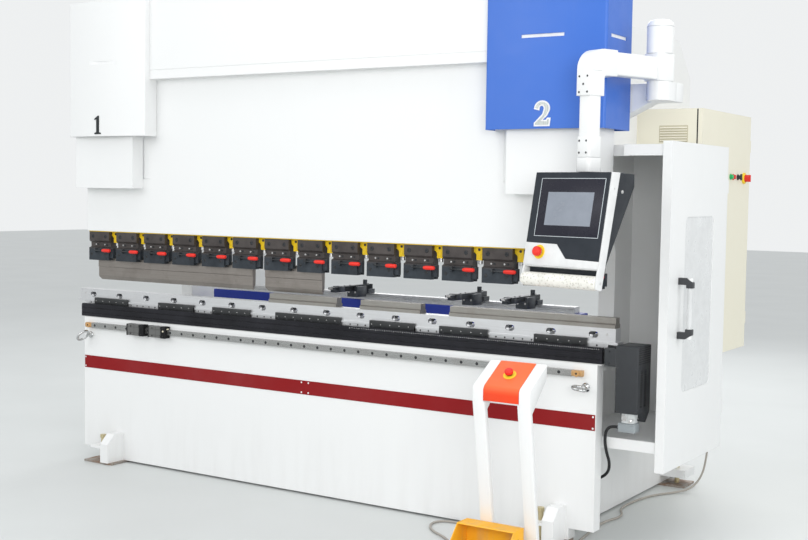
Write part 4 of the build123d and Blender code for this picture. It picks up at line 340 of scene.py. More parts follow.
# One row per material: colour first, then the maker's own values
COATS = {
    painted: {  # roughness, grime, gloss, orange peel
        "white": (WHITE, 0.34, 0.06),
        "covers": (WHITE, 0.34, 0.05, 0.3, 0.00005, (0.050, 0.155, 0.56)),
        "beige": ((0.80, 0.765, 0.63), 0.45, 0.16, 0.45, 0.00012),
        "yellow": ((0.78, 0.53, 0.012), 0.3, 0.3, 0.25),
        "stripe": ((0.245, 0.010, 0.012), 0.5, 0.1, 0.12),
        "gauge_blue": ((0.022, 0.045, 0.34), 0.38, 0.25, 0.25),
        "grey": ((0.42, 0.44, 0.46), 0.42, 0.3),
        "panel_tint": ((0.78, 0.69, 0.66), 0.34, 0.1),
        "pedal_yellow": ((0.93, 0.46, 0.016), 0.42, 0.35, 0.22),
        "cast": ((0.58, 0.60, 0.60), 0.5, 0.25, 0.45, 0.0004),
    },
    steel: {  # darker tone, roughness, stain, stretch of the grain
        "steel": ((0.36, 0.35, 0.325), (0.19, 0.168, 0.148), 0.36),
        "silver": ((0.72, 0.73, 0.74), (0.46, 0.45, 0.44), 0.26, 0.2),
        "table": ((0.74, 0.75, 0.765), (0.46, 0.45, 0.45), 0.34, 0.22),
        "punch": ((0.31, 0.285, 0.262), (0.16, 0.138, 0.122), 0.38, 0.5),
        "carriage": ((0.21, 0.21, 0.205), (0.12, 0.12, 0.115), 0.34, 0.3),
        "screw_steel": ((0.66, 0.66, 0.66), (0.40, 0.38, 0.36), 0.28, 0.25, (20, 20, 20)),
        "figure_grey": ((0.50, 0.53, 0.52), (0.10, 0.12, 0.12), 0.3, 0.1, (30, 1, 1)),
    },
    black_oxide: {  # roughness, wear, metallic, edge
        "block": ((0.012, 0.013, 0.014), 0.36, 0.4, 0.1),
        "screw_black": ((0.026, 0.028, 0.031), 0.3, 0.5, 0.55, 0.0004),
    },
    chrome: {  # roughness
        "chrome": ((0.66, 0.67, 0.68), 0.16),
        "eye_plating": ((0.55, 0.56, 0.56), 0.2),
    },
    plastic: {  # roughness, gloss, texture, its depth
        "drive": ((0.036, 0.039, 0.043), 0.45),
        "red": ((0.80, 0.028, 0.016), 0.33, 0.35),
        "dark": ((0.028, 0.03, 0.033), 0.42),
        "light": ((0.72, 0.725, 0.72), 0.42),
        "pane": ((0.72, 0.73, 0.73), 0.3, 0.3, 420, 0.000004),
        "louvre_shade": ((0.56, 0.51, 0.37), 0.6),
        "cable_black": ((0.02, 0.02, 0.021), 0.5),
        "cable_grey": ((0.40, 0.37, 0.33), 0.55),
        "white_mark": ((0.82, 0.82, 0.82), 0.5),
        "slot_white": ((0.86, 0.86, 0.86), 0.5),
        "amber": ((0.55, 0.31, 0.12),),
        # near-black: painted shade standing in for the dark inside of holes, slots, grille openings and key slots;
        # it also darkens the seam beside the cabinet door
        "recess": ((0.010, 0.010, 0.011), 0.6),
        "seam": ((0.42, 0.43, 0.43), 0.5),
        "plug_grey": ((0.30, 0.33, 0.345), 0.5),
        "pendant_dark": ((0.030, 0.034, 0.040), 0.5, 0.2),
        "pendant_face": ((0.024, 0.029, 0.037), 0.5, 0.18, 400, 0.00003),
        "bezel": ((0.58, 0.63, 0.66), 0.35),
        "glass_black": ((0.018, 0.018, 0.028), 0.25, 0.2, 260, 0.000005),
        "screen": ((0.24, 0.265, 0.31), 0.2, 0.25, 260, 0.000005),
        "estop_yellow": ((0.88, 0.62, 0.03),),
        "handle_dark": ((0.05, 0.052, 0.056),),
        "handle_bar": ((0.66, 0.67, 0.67), 0.35),
        "cream": ((0.74, 0.68, 0.52),),
        "seal_black": ((0.012, 0.012, 0.013), 0.6, 0.15),
        "lamp_green": ((0.02, 0.42, 0.12), 0.25),
        "lamp_red": ((0.70, 0.03, 0.02), 0.25),
        "figure_dark": ((0.016, 0.02, 0.022),),
    },
    rail_coat: {"rail": ()},
    zinc_and_plate: {"zinc": ()},
    clamp_coat: {"clamp": ()},
    finger_coat: {"finger": ()},
    profile_coat: {"anodised": ()},
    console_coat: {"console": ()},
    orange_coat: {"orange": ()},
    padded_roll: {"roll": ()},
}
M = {name: maker(name, *values) for maker, rows in COATS.items() for name, values in rows.items()}

DRESS = {
    "white": "side_frames bed ram rod_covers top_front_cover guard_box guard_door arm_bracket swivel_arm oil_tank",
    "console": "foot_console",
    "covers": "cylinder_covers",
    "beige": "cabinet cabinet_door",
    "table": "table_base crowning_rail",
    "steel": "dies",
    "silver": "gauge_rail cylinders",
    "punch": "punches",
    "rail": "linear_rail",
    "carriage": "rail_carriage_left rail_carriage_right",
    "zinc": "levelling_feet",
    "clamp": "punch_clamps",
    "block": "die_clamp_blocks",
    "finger": "gauge_finger_1 gauge_finger_2 gauge_finger_3",
    "drive": "crowning_drive",
    "anodised": "crowning_cover",
    "yellow": "ram_rail",
    "pedal_yellow": "pedal_guard",
    "stripe": "stripe_plates",
    "gauge_blue": "gauge_beam",
    "grey": "gauge_base",
    "red": "cabinet_estop pendant_estop console_estop " + " ".join(f"clamp_lever_{i:02d}" for i in range(1, 16)),
    "dark": "pendant foot_pedal",
    "chrome": "eye_bolts piston_rods",
}
for key, names in DRESS.items():
    for node_name in names.split():
        for slot in NODES[node_name].material_slots:
            slot.material = M[key]


# Mesh building, in millimetres
def show(name, data, body, replaces=None):
    """Puts a mesh or curve into the scene, riding on a body."""
    obj = bpy.data.objects.new(name, data)
    SCENE.collection.objects.link(obj)
    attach(obj, body)
    if replaces:
        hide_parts(replaces)
    return obj


def circle(radius, height, count):
    """Points around the Z axis at a height."""
    return [(radius * cos(2 * pi * i / count), radius * sin(2 * pi * i / count), height)
            for i in range(count)]


def hexagon(radius, height, count):
    """Points along a hexagon, as many as the round ring that it joins."""
    corners = [Vector(corner) for corner in circle(radius, height, 6)]
    share = count // 6
    return [a.lerp(b, step / share) for a, b in zip(corners, corners[1:] + corners[:1]) for step in range(share)]


def arc(centre, radii, start, end, steps):
    """Points along part of an ellipse, in degrees."""
    turns = [radians(start + (end - start) * step / steps) for step in range(steps + 1)]
    return [(centre[0] + radii[0] * cos(turn), centre[1] + radii[1] * sin(turn)) for turn in turns]


def aimed(centre, direction):
    """A place at a centre, with Z along a direction."""
    turn = Vector(UP).rotation_difference(Vector(direction)).to_matrix().to_4x4()
    return Matrix.Translation(Vector(centre)) @ turn


def skin(part, rings):
    """Makes and joins the vertices of rings of points, and gives them back."""
    rings = [[part.verts.new(point) for point in ring] for ring in rings]
    join(part, rings)
    return rings


def join(part, rings):
    """Faces from each ring of vertices to the next; a ring may be one vertex."""
    for lower, upper in zip(rings, rings[1:]):
        count = max(len(lower), len(upper))
        for i in range(count):
            j = (i + 1) % count
            corners = dict.fromkeys((lower[i % len(lower)], lower[j % len(lower)],
                                     upper[j % len(upper)], upper[i % len(upper)]))
            if len(corners) > 2:
                part.faces.new(list(corners))


def round_edges(part, edges, radius, segments):
    if radius > 0:
        bmesh.ops.bevel(part, geom=edges, offset=radius, segments=segments, profile=0.5, affect="EDGES",
                        clamp_overlap=True)


class Solid:
    """One visible piece while it is drawn; each form takes the number of its material."""

    def __init__(self, place=None):
        self.bm = bmesh.new()
        self.place = place or Matrix()

    def add(self, part, material=0, place=None):
        """Takes over the faces of a smaller bmesh."""
        for face in part.faces:
            face.material_index = material
        bmesh.ops.transform(part, matrix=self.place @ (place or Matrix()), verts=part.verts)
        data = bpy.data.meshes.new("part")
        part.to_mesh(data)
        part.free()
        self.bm.from_mesh(data)
        bpy.data.meshes.remove(data)

    def box(self, low, high, radius=1.0, segments=2, material=0):
        """A box with rounded edges."""
        part = bmesh.new()
        bmesh.ops.create_cube(part, size=1)
        size = [b - a for a, b in zip(low, high)]
        bmesh.ops.scale(part, vec=size, verts=part.verts)
        bmesh.ops.translate(part, vec=[(a + b) / 2 for a, b in zip(low, high)], verts=part.verts)
        round_edges(part, part.edges, min(radius, min(size) * 0.45), segments)
        self.add(part, material)

    def prism(self, outline, axis, start, end, radius=0.0, segments=2, material=0):
        """A 2D outline pushed along an axis, with rounded edges."""
        part = bmesh.new()
        at = "XYZ".index(axis)
        near, far = ([part.verts.new((*point[:at], depth, *point[at:])) for point in outline]
                     for depth in (start, end))
        part.faces.new(near)
        part.faces.new(far[::-1])
        join(part, (far, near))
        bmesh.ops.recalc_face_normals(part, faces=part.faces)
        edges = [edge for edge in part.edges if edge.calc_face_angle(0) > radians(25)]
        round_edges(part, edges, radius, segments)
        self.add(part, material)

    def turn(self, profile, centre, direction, count=20, material=0):
        """A profile of (radius, height) turned about a direction through a centre."""
        part = bmesh.new()
        skin(part, [circle(radius, height, count if radius else 1) for radius, height in profile])
        self.add(part, material, aimed(centre, direction))

    def disc(self, centre, direction, radius, thickness, material=0, count=24):
        """A thin disc with a rounded rim."""
        soft = thickness * 0.4
        profile = [(radius, 0), (radius, thickness - soft), (radius - soft, thickness), (0, thickness)]
        self.turn(profile, centre, direction, count, material)

    def pan_screw(self, centre, direction, radius, material=0):
        """A low domed screw."""
        rim = [(1, 0), (1, 0.12), (0.9, 0.34), (0.62, 0.5), (0, 0.56)]
        self.turn([(radius * out, radius * rise) for out, rise in rim], centre, direction, 16, material)

    def screw(self, centre, direction, radius, height, material=0):
        """A socket cap screw with its hexagon recess."""
        part = bmesh.new()
        count, floor = 18, height - min(height * 0.7, radius)
        rings = skin(part, [circle(radius, 0, count), circle(radius, height - radius * 0.12, count),
                            circle(radius * 0.88, height, count), hexagon(radius * 0.58, height, count),
                            hexagon(radius * 0.56, floor, count)])
        part.faces.new(rings[-1])
        self.add(part, material, aimed(centre, direction))

    def torus(self, centre, direction, radius, wire):
        """A round ring of round wire."""
        part = bmesh.new()
        count, sides = 48, 16
        section = circle(wire, 0, sides)
        loops = [[part.verts.new(((radius + out) * x, (radius + out) * y, rise)) for out, rise, _ in section]
                 for x, y, _ in circle(1, 0, count)]
        join(part, loops + loops[:1])
        self.add(part, 0, aimed(centre, direction))

    def make(self, name, body, materials, replaces=None, smooth=True):
        """Turns the drawing into an object that rides on a body."""
        bmesh.ops.recalc_face_normals(self.bm, faces=self.bm.faces)
        bmesh.ops.scale(self.bm, vec=(0.001, 0.001, 0.001), verts=self.bm.verts)
        data = bpy.data.meshes.new(name)
        self.bm.to_mesh(data)
        self.bm.free()
        for item in materials.split():
            data.materials.append(M[item])
        if smooth:
            for face in data.polygons:
                face.use_smooth = True
            data.set_sharp_from_angle(angle=radians(SHARP_ANGLE))
        show(name, data, body, replaces)


# Sizes shared with the frame, in millimetres
RAM_Z0 = 1253.0
CLAMP_PITCH = 206.9
CLAMPS = [(index - 7) * CLAMP_PITCH for index in range(15)]
CROWN_TOP = 930.0
CLAMP_SCREWS = (  # places along the clamp, drop from the ram, front, bore, its rim, radius, height
    ((-48, 48), 30, -36, 10.5, 0.7, 8.2, 2.2),
    ((-36, -20, 31, 48), 75, -22, 6.0, 0.6, 4.6, 2.4),
    ((-55, 49), 128, -38, 8.0, 0.7, 6.2, 2.0),
)


def clamp_fasteners():
    """Screws in the clamps' blocks and waists, each in a near-black disc painted as the shade of its bore, and the
    pins of the levers.
    """
    p = Solid()
    for x in CLAMPS:
        for places, drop, front, bore, rim, radius, height in CLAMP_SCREWS:
            for dx in places:
                # near-black disc: painted shade of the bore round the screw
                p.disc((x + dx, front + 0.2, RAM_Z0 - drop), OUT, bore, rim, 1)
                p.screw((x + dx, front - 0.2, RAM_Z0 - drop), OUT, radius, height, 2 if dx in (-36, 31) else 0)
        p.disc((x + 87, -30.0, RAM_Z0 - 120), OUT, 6.0, 0.8)
    p.make("clamp_fasteners", "ram", "screw_black recess screw_steel")


def rail_fasteners():
    """Steel adjusting screws and dark keeper screws in the holding rail's tabs."""
    p = Solid()
    for clamp_x in CLAMPS[:-1]:
        x = clamp_x + CLAMP_PITCH / 2
        p.turn([(0, 0), (9.5, 0), (10.5, 1), (10.5, 15), (11.5, 16), (11.5, 20), (0, 20)],
               (x, 2, RAM_Z0 - 81), UP, 20, 1)
        p.screw((x, -12.0, RAM_Z0 - 16), OUT, 6, 3)
        p.box((x - 7, -13.4, RAM_Z0 - 56), (x + 7, -11.5, RAM_Z0 - 34), 0.8, 2, 2)
    p.box((-1526, -36.8, RAM_Z0 - 4), (1526, -11.9, RAM_Z0 - 0.4), 0.6, 1, 2)
    p.make("rail_fasteners", "ram", "screw_black screw_steel yellow")


def lever(index, clamp_x):
    """A clamp lever: forged bar, pivot boss and moulded red grip."""
    p = Solid()
    x, y, z = clamp_x - 21, -46.0, RAM_Z0 - 106
    grip_y = y - 11
    p.turn([(3.3, -4.5), (7, -4.5), (7.4, -3.5), (7.4, 3.5), (7, 4.5), (3.3, 4.5)], (x, y, z), UP, 20, 1)
    bar = [(x, y + 3.5), (x, y - 4.5), (x + 30, grip_y - 1.5), (x + 68, grip_y - 4),
           (x + 68, grip_y + 3.5), (x + 30, grip_y + 5)]
    p.prism(bar, "Z", z - 3.6, z + 3.6, 1.2, 2, 1)
    grip = [(0, 0), (6.0, 0), (7.0, 0.8), (7.4, 3.5), (8.3, 6.5), (9.2, 13), (9.5, 24), (9.5, 36), (9.2, 48),
            (8.6, 54), (7.2, 57.6), (4.6, 59.2), (0, 59.5)]
    p.turn(grip, (x + 66, grip_y, z), RIGHT, 28)
    node = f"clamp_lever_{index:02d}"
    p.make(f"lever_{index:02d}", node, "red screw_black", node)


def slot_inserts():
    """Black adjusting screws and steel wedges seen in the crowning rail's slots."""
    p = Solid()
    z = CROWN_TOP - 30
    for x in range(-1500, 1501, 200):
        p.turn([(0, 0), (5.5, 0), (6.5, 0.8), (6.5, 10), (9.5, 10.5), (9.5, 13.4), (0, 13.4)],
               (x - 3, -18, z), UP, 18)
        p.box((x - 20, -26, z - 13.2), (x - 5, 26, z - 1), 1.5, 2, 1)
        p.box((x - 9, -24.5, z + 4), (x + 4, -14, z + 13.3))
    p.make("slot_inserts", "root", "screw_black table")


def table_fasteners():
    """Rows of screws in the clamp strips, and near-black discs in the table between them, painted as the shade of
    its holes.
    """
    p = Solid()
    blocks = [(-1356, 125), (-878, 125), (-498, 125), (-9, 199), (484, 125), (868, 125), (1349, 125)]
    for centre, half in blocks:
        steps = 5 if half < 150 else 8
        p.box((centre - half, -40.5, 846.5), (centre + half, -28.3, 884), 1.2, 2, 3)
        for k in range(steps):
            x = centre - half + 22 + (2 * half - 44) * k / (steps - 1)
            p.screw((x, -40.4, 854), OUT, 4.6, 2.0)
            p.disc((x - 9, -40.4, 866), OUT, 2.4, 0.5, 2, 12)
    # near-black discs: painted shade of holes in the table
    for x in range(-1520, 1540, 44):
        if all(abs(x - centre) > half + 10 for centre, half in blocks):
            p.disc((x, -27.9, 855), OUT, 4.0, 0.5, 1, 16)
    for x in (-1562, 1562):
        p.screw((x, -27.9, 905), OUT, 4.5, 2.0, 2)
    p.make("table_fasteners", "root", "screw_black recess screw_steel block")


def scale_marks():
    """A white scale on the upper lip of the black profile."""
    p = Solid()
    for count, x in enumerate(range(260, 1546, 10)):
        tall = 6.0 if count % 5 == 0 else 3.6
        p.box((x - 0.8, -62.35, 844.6 - tall), (x + 0.8, -61.9, 844.6), 0)
    p.make("scale_marks", "root", "white_mark", smooth=False)


def profile_ends():
    """End caps and clip screws of the black profile."""
    p = Solid()
    for x0, x1 in ((-1557.5, -1553.9), (1553.9, 1555.6)):
        p.box((x0, -62.4, 780.5), (x1, -28.4, 845.4), 0.8)
    for x in range(-1400, 1401, 350):
        p.screw((x, -61.8, 793), OUT, 3.6, 1.4)
    p.make("profile_ends", "root", "anodised")


def rail_details():
    """Counterbore plugs along the guide rail, each in a near-black ring painted as its counterbore's shade, and the
    rail's end stops with their screws.
    """
    p = Solid()
    for x in range(-1430, 1425, 80):
        # near-black ring: painted shade of the counterbore
        p.disc((x, -86.8, 735), OUT, 7.0, 0.3, 0, 18)
        p.disc((x, -86.9, 735), OUT, 4.2, 0.3, 1, 14)
    for x in (-1480, 1452):
        p.turn([(0, 0), (13.5, 0), (13.8, 1), (13.8, 6), (12.4, 8), (5.2, 8.4), (4.6, 5), (0, 5)],
               (x, -84, 735), OUT, 24, 2)
        p.screw((x, -89.2, 735), OUT, 4.4, 2.6, 1)
    p.make("rail_details", "root", "recess screw_black amber")


def carriage_caps(side, centre, nipple):
    """Black end seals, joint lines and a grease nipple on a runner block."""
    p = Solid()
    x0, x1 = centre - 60.5, centre + 60.5
    saddle = [(-106.5, 704.4), (-66.6, 704.4), (-66.6, 720.3), (-87.5, 720.3),
              (-87.5, 749.7), (-66.6, 749.7), (-66.6, 765.6), (-106.5, 765.6)]
    p.prism(saddle, "X", x1 - 30, x1 + 0.6, 1.2)
    p.prism(saddle, "X", x0 - 0.6, x0 + 7, 1.2)
    for x in (x0 + 9.5, x1 - 32.5, centre - 6):
        p.box((x - 0.5, -106.25, 706), (x + 0.5, -105.6, 764), 0)
    for z in (719.5, 750.5):
        p.box((x0 + 10, -106.25, z - 0.5), (x1 - 31, -105.6, z + 0.5), 0)
    for z in (714, 756):
        p.screw((x1 - 15, -106.4, z), OUT, 3.4, 1.6)
    if nipple:
        profile = [(0, 0), (4.2, 0), (4.2, 5), (2.6, 7), (3.6, 9), (2.6, 12), (0, 12.6)]
        p.turn(profile, (x1, -88, 752), (1, 0, 0.2), 16, 1)
        p.disc((x1 - 12, -106.4, 742), OUT, 5, 3, 1)
    p.make(f"carriage_{side}_caps", f"rail_carriage_{side}", "seal_black cream")


def stripe_screws():
    """Small screws that hold the red trim plates."""
    p = Solid()
    for x in (-1524, -22, 20, 1522):
        for z in (504.5, 553.5):
            p.pan_screw((x, -62.9, z), OUT, 4.4)
    p.make("stripe_screws", "root", "white_mark")


def eye_rings():
    """Plated lifting eyes with forged collars, each turned a little on its thread."""
    p = Solid()
    for x, tilt in ((-1486, -50), (1486, 9)):
        lean = radians(tilt)
        p.torus((x, -61 - 26 - 33, 679), (sin(lean), 0, cos(lean)), 33.0, 6.6)
        p.turn([(0, 0), (17, 0), (17.5, 1), (17.5, 5), (15, 8), (9, 11), (7, 16), (7, 29), (0, 29)],
               (x, -61.3, 679), OUT, 28)
    p.make("lifting_eyes", "root", "eye_plating", "eye_bolts")


# Crowning drive
def drive_casing():
    """Belt casing with grille, ribbed slots and cover screws, and its coupling block."""
    p = Solid()
    x0, x1 = 1617.0, 1717.0
    front, back = -62.0, 80.0
    outline = [(front, 865), (back, 865), (back, 583), (35, 538), (-10, 583), (front, 583)]
    p.prism(outline, "X", x0, x1, 3.0, 3)
    p.box((1566.2, front, 775.2), (x0 + 1, 28, 850), 2.0, 3)
    p.box((1567, front + 4, 848), (1612, 24, 851.5), 1.2)
    for z in (788, 838):
        p.screw((1590, front + 0.3, z), OUT, 4.6, 2.2, 3)
    for y in (front + 8, back - 8):
        for z in (783, 858, 600):
            p.screw((x1 - 0.2, y, z), RIGHT, 3.0, 1.2, 3)
    for x in (x0 + 9, x1 - 9):
        for z in (592, 772):
            p.screw((x, front + 0.4, z), OUT, 3.0, 1.2, 3)
    # near-black squares: painted shade in the grille's openings
    for row in range(8):
        for column in range(14):
            y, z = -53 + 9.2 * column, 789 + 9.2 * row
            p.box((x1 - 1, y, z), (x1 + 0.25, y + 6.4, z + 6.4), 0, 1, 1)
    # near-black backs: painted shade in the ribbed slots
    for y in (-34, 8):
        p.box((x1 - 2, y, 608), (x1 + 0.35, y + 24, 764), 0, 1, 1)
        for z in range(618, 764, 10):
            p.box((x1 - 1, y + 1, z), (x1 + 0.9, y + 23, z + 2.2), 0.6, 1)
    p.make("drive_casing", "root", "drive recess cast screw_black", "crowning_drive")


def drive_motor():
    """Cast motor end with four lobes, the plug under it and the cable's gland."""
    x, y = 1667.0, -16.0
    count = 48
    p = Solid()
    turns = [2 * pi * i / count for i in range(count)]
    lobes = [32.5 + 3.6 * cos(4 * turn + pi) ** 3 for turn in turns]
    part = bmesh.new()
    rings = skin(part, [
        [(x + share * lobe * cos(turn), y + share * lobe * sin(turn), z) for turn, lobe in zip(turns, lobes)]
        for share, z in ((0.9, 583.2), (1.0, 581), (1.0, 563), (0.93, 560), (0.93, 549), (1.0, 546), (0.98, 541),
                         (0.86, 539.4))])
    part.faces.new(rings[0])
    part.faces.new(rings[-1][::-1])
    p.add(part)
    for turn in (45, 135, 225, 315):
        across, along = cos(radians(turn)), sin(radians(turn))
        p.screw((x + 35.5 * across, y + 35.5 * along, 556), (across, along, 0), 3.4, 2.2, 1)
    p.turn([(0, 0), (11, 0), (12, 1), (12, 3), (7, 3.6), (6, 2), (0, 2)], (x - 12, y - 30, 562), OUT, 20, 1)
    p.turn([(0, 0), (7, 0), (7, 3), (5, 4), (0, 4)], (x + 15, y - 30, 551), (0.3, -1, 0), 16, 1)
    p.make("drive_motor_casting", "root", "cast screw_steel")

    p = Solid()
    left = x - 43
    p.box((left, y - 28, 499.2), (left + 78, y + 28, 540), 7, 4)
    p.box((left + 3, y - 30, 531), (left + 75, y + 30, 537), 1.6)
    for dx in (8, 70):
        for dy in (-20, 20):
            p.screw((left + dx, y + dy, 499.4), (0, 0, -1), 3, 1.6, 1)
    p.make("drive_plug", "root", "plug_grey screw_steel")

    p = Solid()
    gland = [(0, -12.2), (6.9, -12.2), (8.2, -11), (9.0, -7), (11, -6), (11, 0.2), (0, 0.2)]
    p.turn(gland, (left, y, 515.5), RIGHT, 24)
    p.make("drive_gland", "root", "dark")


# Control pendant, drawn with its face to -Y and its top rear edge at zero
ARM_TURN = radians(20)
PIVOT = Vector((1722 - 413 * sin(ARM_TURN), 72 - 413 * cos(ARM_TURN), 1578))
PENDANT = (Matrix.Translation(PIVOT) @ Matrix.Rotation(radians(-14), 4, "Z")
           @ Matrix.Translation((0, -82, 0)) @ Matrix.Rotation(radians(-11), 4, "X"))
STOP_X = -114.0
HALF, INNER = 190.0, 181.0  # half the pendant's width, outside and inside its side plates
ROLL_Z = -430.0


def pendant_body():
    """Housing with its back slots and swivel neck, and the two side plates."""
    p = Solid(PENDANT)
    p.prism([(1.8, 0), (50, 8), (150, 23), (160, -25), (45, -382), (40, -405), (30, -376), (1.8, -376)], "X",
            -INNER + 0.4, INNER - 0.4, 1.6)
    p.turn([(0, 0), (7, 0), (7, 1.4), (4.5, 2.4), (0, 2.4)], (INNER - 0.6, 88, -60), RIGHT, 20, 1)
    # the back slots are near-black boxes: painted shade in them
    for x in (-130, 0, 130):
        for z in range(-60, -260, -14):
            y = 160 + (z + 25) * 115 / 357
            p.box((x - 33, y - 1.5, z - 3), (x + 33, y + 0.6, z + 3), 0, 1, 2)
    p.place = Matrix()
    p.turn([(0, -50), (31, -50), (31, 0.4), (28, 1.6), (0, 1.8)], PIVOT, UP, 32)
    p.make("pendant_housing", "pendant", "pendant_dark screw_steel recess", "pendant")

    p = Solid(PENDANT)
    outline = [(1.5, 0.5), (48, 8), (38, -376), (36, ROLL_Z - 22), (30, ROLL_Z - 27), (6, ROLL_Z - 27),
               (0, ROLL_Z - 20), (-1.5, ROLL_Z + 30), (1.5, -372)]
    for out, x0, x1 in ((-1, -HALF, -INNER), (1, INNER, HALF)):
        p.prism(outline, "X", x0, x1, 1.4, 3)
        p.screw(((HALF - 0.4) * out, 21, ROLL_Z + 1), (out, 0, 0), 5.0, 1.8, 1)
        p.screw(((HALF - 0.4) * out, 24, -60), (out, 0, 0), 3.6, 1.4, 1)
    p.make("pendant_side_plates", "pendant", "light screw_steel")


def pendant_front():
    """Dark face, pale lower panel, bezel, screen, padded roller and the stop's ring."""
    edge = INNER + 2
    p = Solid(PENDANT)
    dark = [(1 - HALF, -1), (edge, -1), (edge, -348), (22, -344), (-31, -288), (1 - HALF, -285)]
    p.prism(dark, "Y", -1.8, 2.4, 0.6, 1)
    p.make("pendant_face", "pendant", "pendant_face")

    p = Solid(PENDANT)
    pale = [(1 - HALF, -286), (-31.5, -289), (21.5, -345), (edge, -349), (edge, -378), (1 - HALF, -376)]
    p.prism(pale, "Y", -2.4, 3.0, 1.0)
    p.box((-INNER, 2, -381), (INNER, 44, -374), 1.4)
    p.make("pendant_lower_panel", "pendant", "light")

    p = Solid(PENDANT)
    left, right, top, low, rim = -153.0, 166.0, -25.0, -260.0, 2.2
    p.box((left, -2.8, low), (right, -1.4, top), 0.6, 2, 1)
    for x0, x1, z0, z1 in ((left, right, top - rim, top), (left, right, low, low + rim),
                           (left, left + rim, low, top), (right - rim, right, low, top)):
        p.box((x0, -3.8, z0), (x1, -1.6, z1), 0.7)
    p.make("pendant_bezel", "pendant", "bezel glass_black")

    p = Solid(PENDANT)
    p.box((-110, -3.2, -215), (119, -2.4, -81), 0.2, 1)
    p.make("pendant_screen", "pendant", "screen")

    p = Solid(PENDANT)
    radius, soft = 28.0, 7.0
    profile = [(0, -HALF - 3), (radius - soft, -HALF - 3)]
    profile += arc((radius - soft, soft - HALF - 3), (soft, soft), -90, 0, 5)[1:]
    profile += [(radius, -HALF + 4 + (2 * INNER - 8) * step / 40) for step in range(1, 40)]
    profile += arc((radius - soft, INNER - 8), (soft, soft), 0, 90, 5) + [(0, INNER - 1)]
    p.turn(profile, (0, 20, ROLL_Z), RIGHT, 56)
    p.make("pendant_wrist_roll", "pendant", "roll")

    p = Solid(PENDANT)
    p.turn([(16, -4.2), (27.4, -4.2), (28.4, -3.2), (28.4, 0.5), (16, 0.5)], (STOP_X, 0, -323), (0, 1, 0), 40)
    p.make("pendant_estop_ring", "pendant", "estop_yellow")


def stop_button(owner, place, radius):
    """A twist release mushroom head with its stem, travelling with its node."""
    p = Solid(place)
    gap, height = 6.0, 18.0
    head = [(0, gap), (radius - 2.5, gap), (radius - 0.6, gap + 1), (radius, gap + 3), (radius, gap + 10),
            (radius - 1.0, gap + 14), (radius - 4.0, gap + 17), (radius - 8.0, gap + height), (0, gap + height)]
    p.turn(head, (0, 0, 0), UP, 40)
    p.turn([(0, -14), (10.8, -14), (10.8, gap + 0.5), (0, gap + 0.5)], (0, 0, 0), UP, 24, 1)
    p.make(f"{owner}_stop", f"{owner}_estop", "red screw_black", f"{owner}_estop")


# Foot console
CONSOLE_FRONT, CONSOLE_BACK, CONSOLE_TOP, CONSOLE_KNEE = -674, -528, 829, 683
CONSOLE_SLOPE = radians(31)
CONSOLE_BEND = 28  # radius of the bend between front and slope


def console_matrix(lift=0.0):
    """The middle of the console's button place, with Z out of the slope."""
    x, y = 1280 + 249 / 2, -601.0
    z = CONSOLE_TOP - tan(CONSOLE_SLOPE) * (CONSOLE_BACK - y)
    return Matrix.Translation((x, y, z)) @ Matrix.Rotation(CONSOLE_SLOPE, 4, "X") @ Matrix.Translation((0, 0, lift))


def console_line(inset, from_z):
    """The front and top of the console's side outline, drawn inwards by an inset."""
    front = CONSOLE_FRONT + inset
    y = CONSOLE_FRONT + CONSOLE_BEND
    crest_y = y - CONSOLE_BEND * sin(CONSOLE_SLOPE)
    z = CONSOLE_TOP - tan(CONSOLE_SLOPE) * (CONSOLE_BACK - crest_y) - CONSOLE_BEND * cos(CONSOLE_SLOPE)
    points = [(front + 115 * max(0, CONSOLE_KNEE - from_z) / CONSOLE_KNEE, from_z)]
    if from_z < CONSOLE_KNEE:
        points.append((front, CONSOLE_KNEE))
    points += arc((y, z), (CONSOLE_BEND - inset,) * 2, 180, 90 + degrees(CONSOLE_SLOPE), 8)
    points.append((CONSOLE_BACK, CONSOLE_TOP - inset / cos(CONSOLE_SLOPE)))
    return points


def console_pieces():
    """Two slim cheeks, the head between them, the low cross panel and the orange cover."""
    p = Solid()
    for x0, x1 in ((1280, 1327), (1482, 1529)):
        p.prism(console_line(0, 0) + [(-528, 769), (-645, 650), (-536, 0)], "X", x0, x1, 3.5, 3)
    for x0, x1 in ((1324, 1333), (1476, 1485)):
        p.prism([(-558, 0), (-672.8, 683), (-612.5, 683), (-645, 650), (-536, 0)], "X", x0, x1, 1.5)
    p.prism(console_line(4, 705) + [(-528.5, 770), (-590, 705)], "X", 1326, 1483)
    p.prism([(-558, 0), (-589, 186), (-567, 186), (-538, 0)], "X", 1332, 1477, 1.5, 2, 1)
    p.make("console_stand", "root", "console panel_tint", "foot_console")

    p = Solid()
    p.prism(console_line(0.4, 687) + console_line(3.9, 687)[::-1], "X", 1327.3, 1481.7, 0.8)
    p.place = console_matrix(-1.5)
    p.turn([(0, -2), (27.5, -2), (27.5, 0.6), (26.5, 1.6), (0, 1.6)], (0, 0, 0), UP, 40)
    p.make("console_cover", "root", "orange")


def console_details():
    """The yellow ring of the console's stop, and rubber feet."""
    p = Solid(console_matrix())
    p.turn([(12, -1.5), (26.3, -1.5), (26.3, 2.4), (25.2, 3.4), (12, 3.4)], (0, 0, 0), UP, 40)
    p.make("console_estop_ring", "root", "estop_yellow")
    p = Solid()
    for x in (1300, 1509):
        p.box((x - 15, -556, 0.1), (x + 15, -539, 2.5))
    p.make("console_feet", "root", "dark")


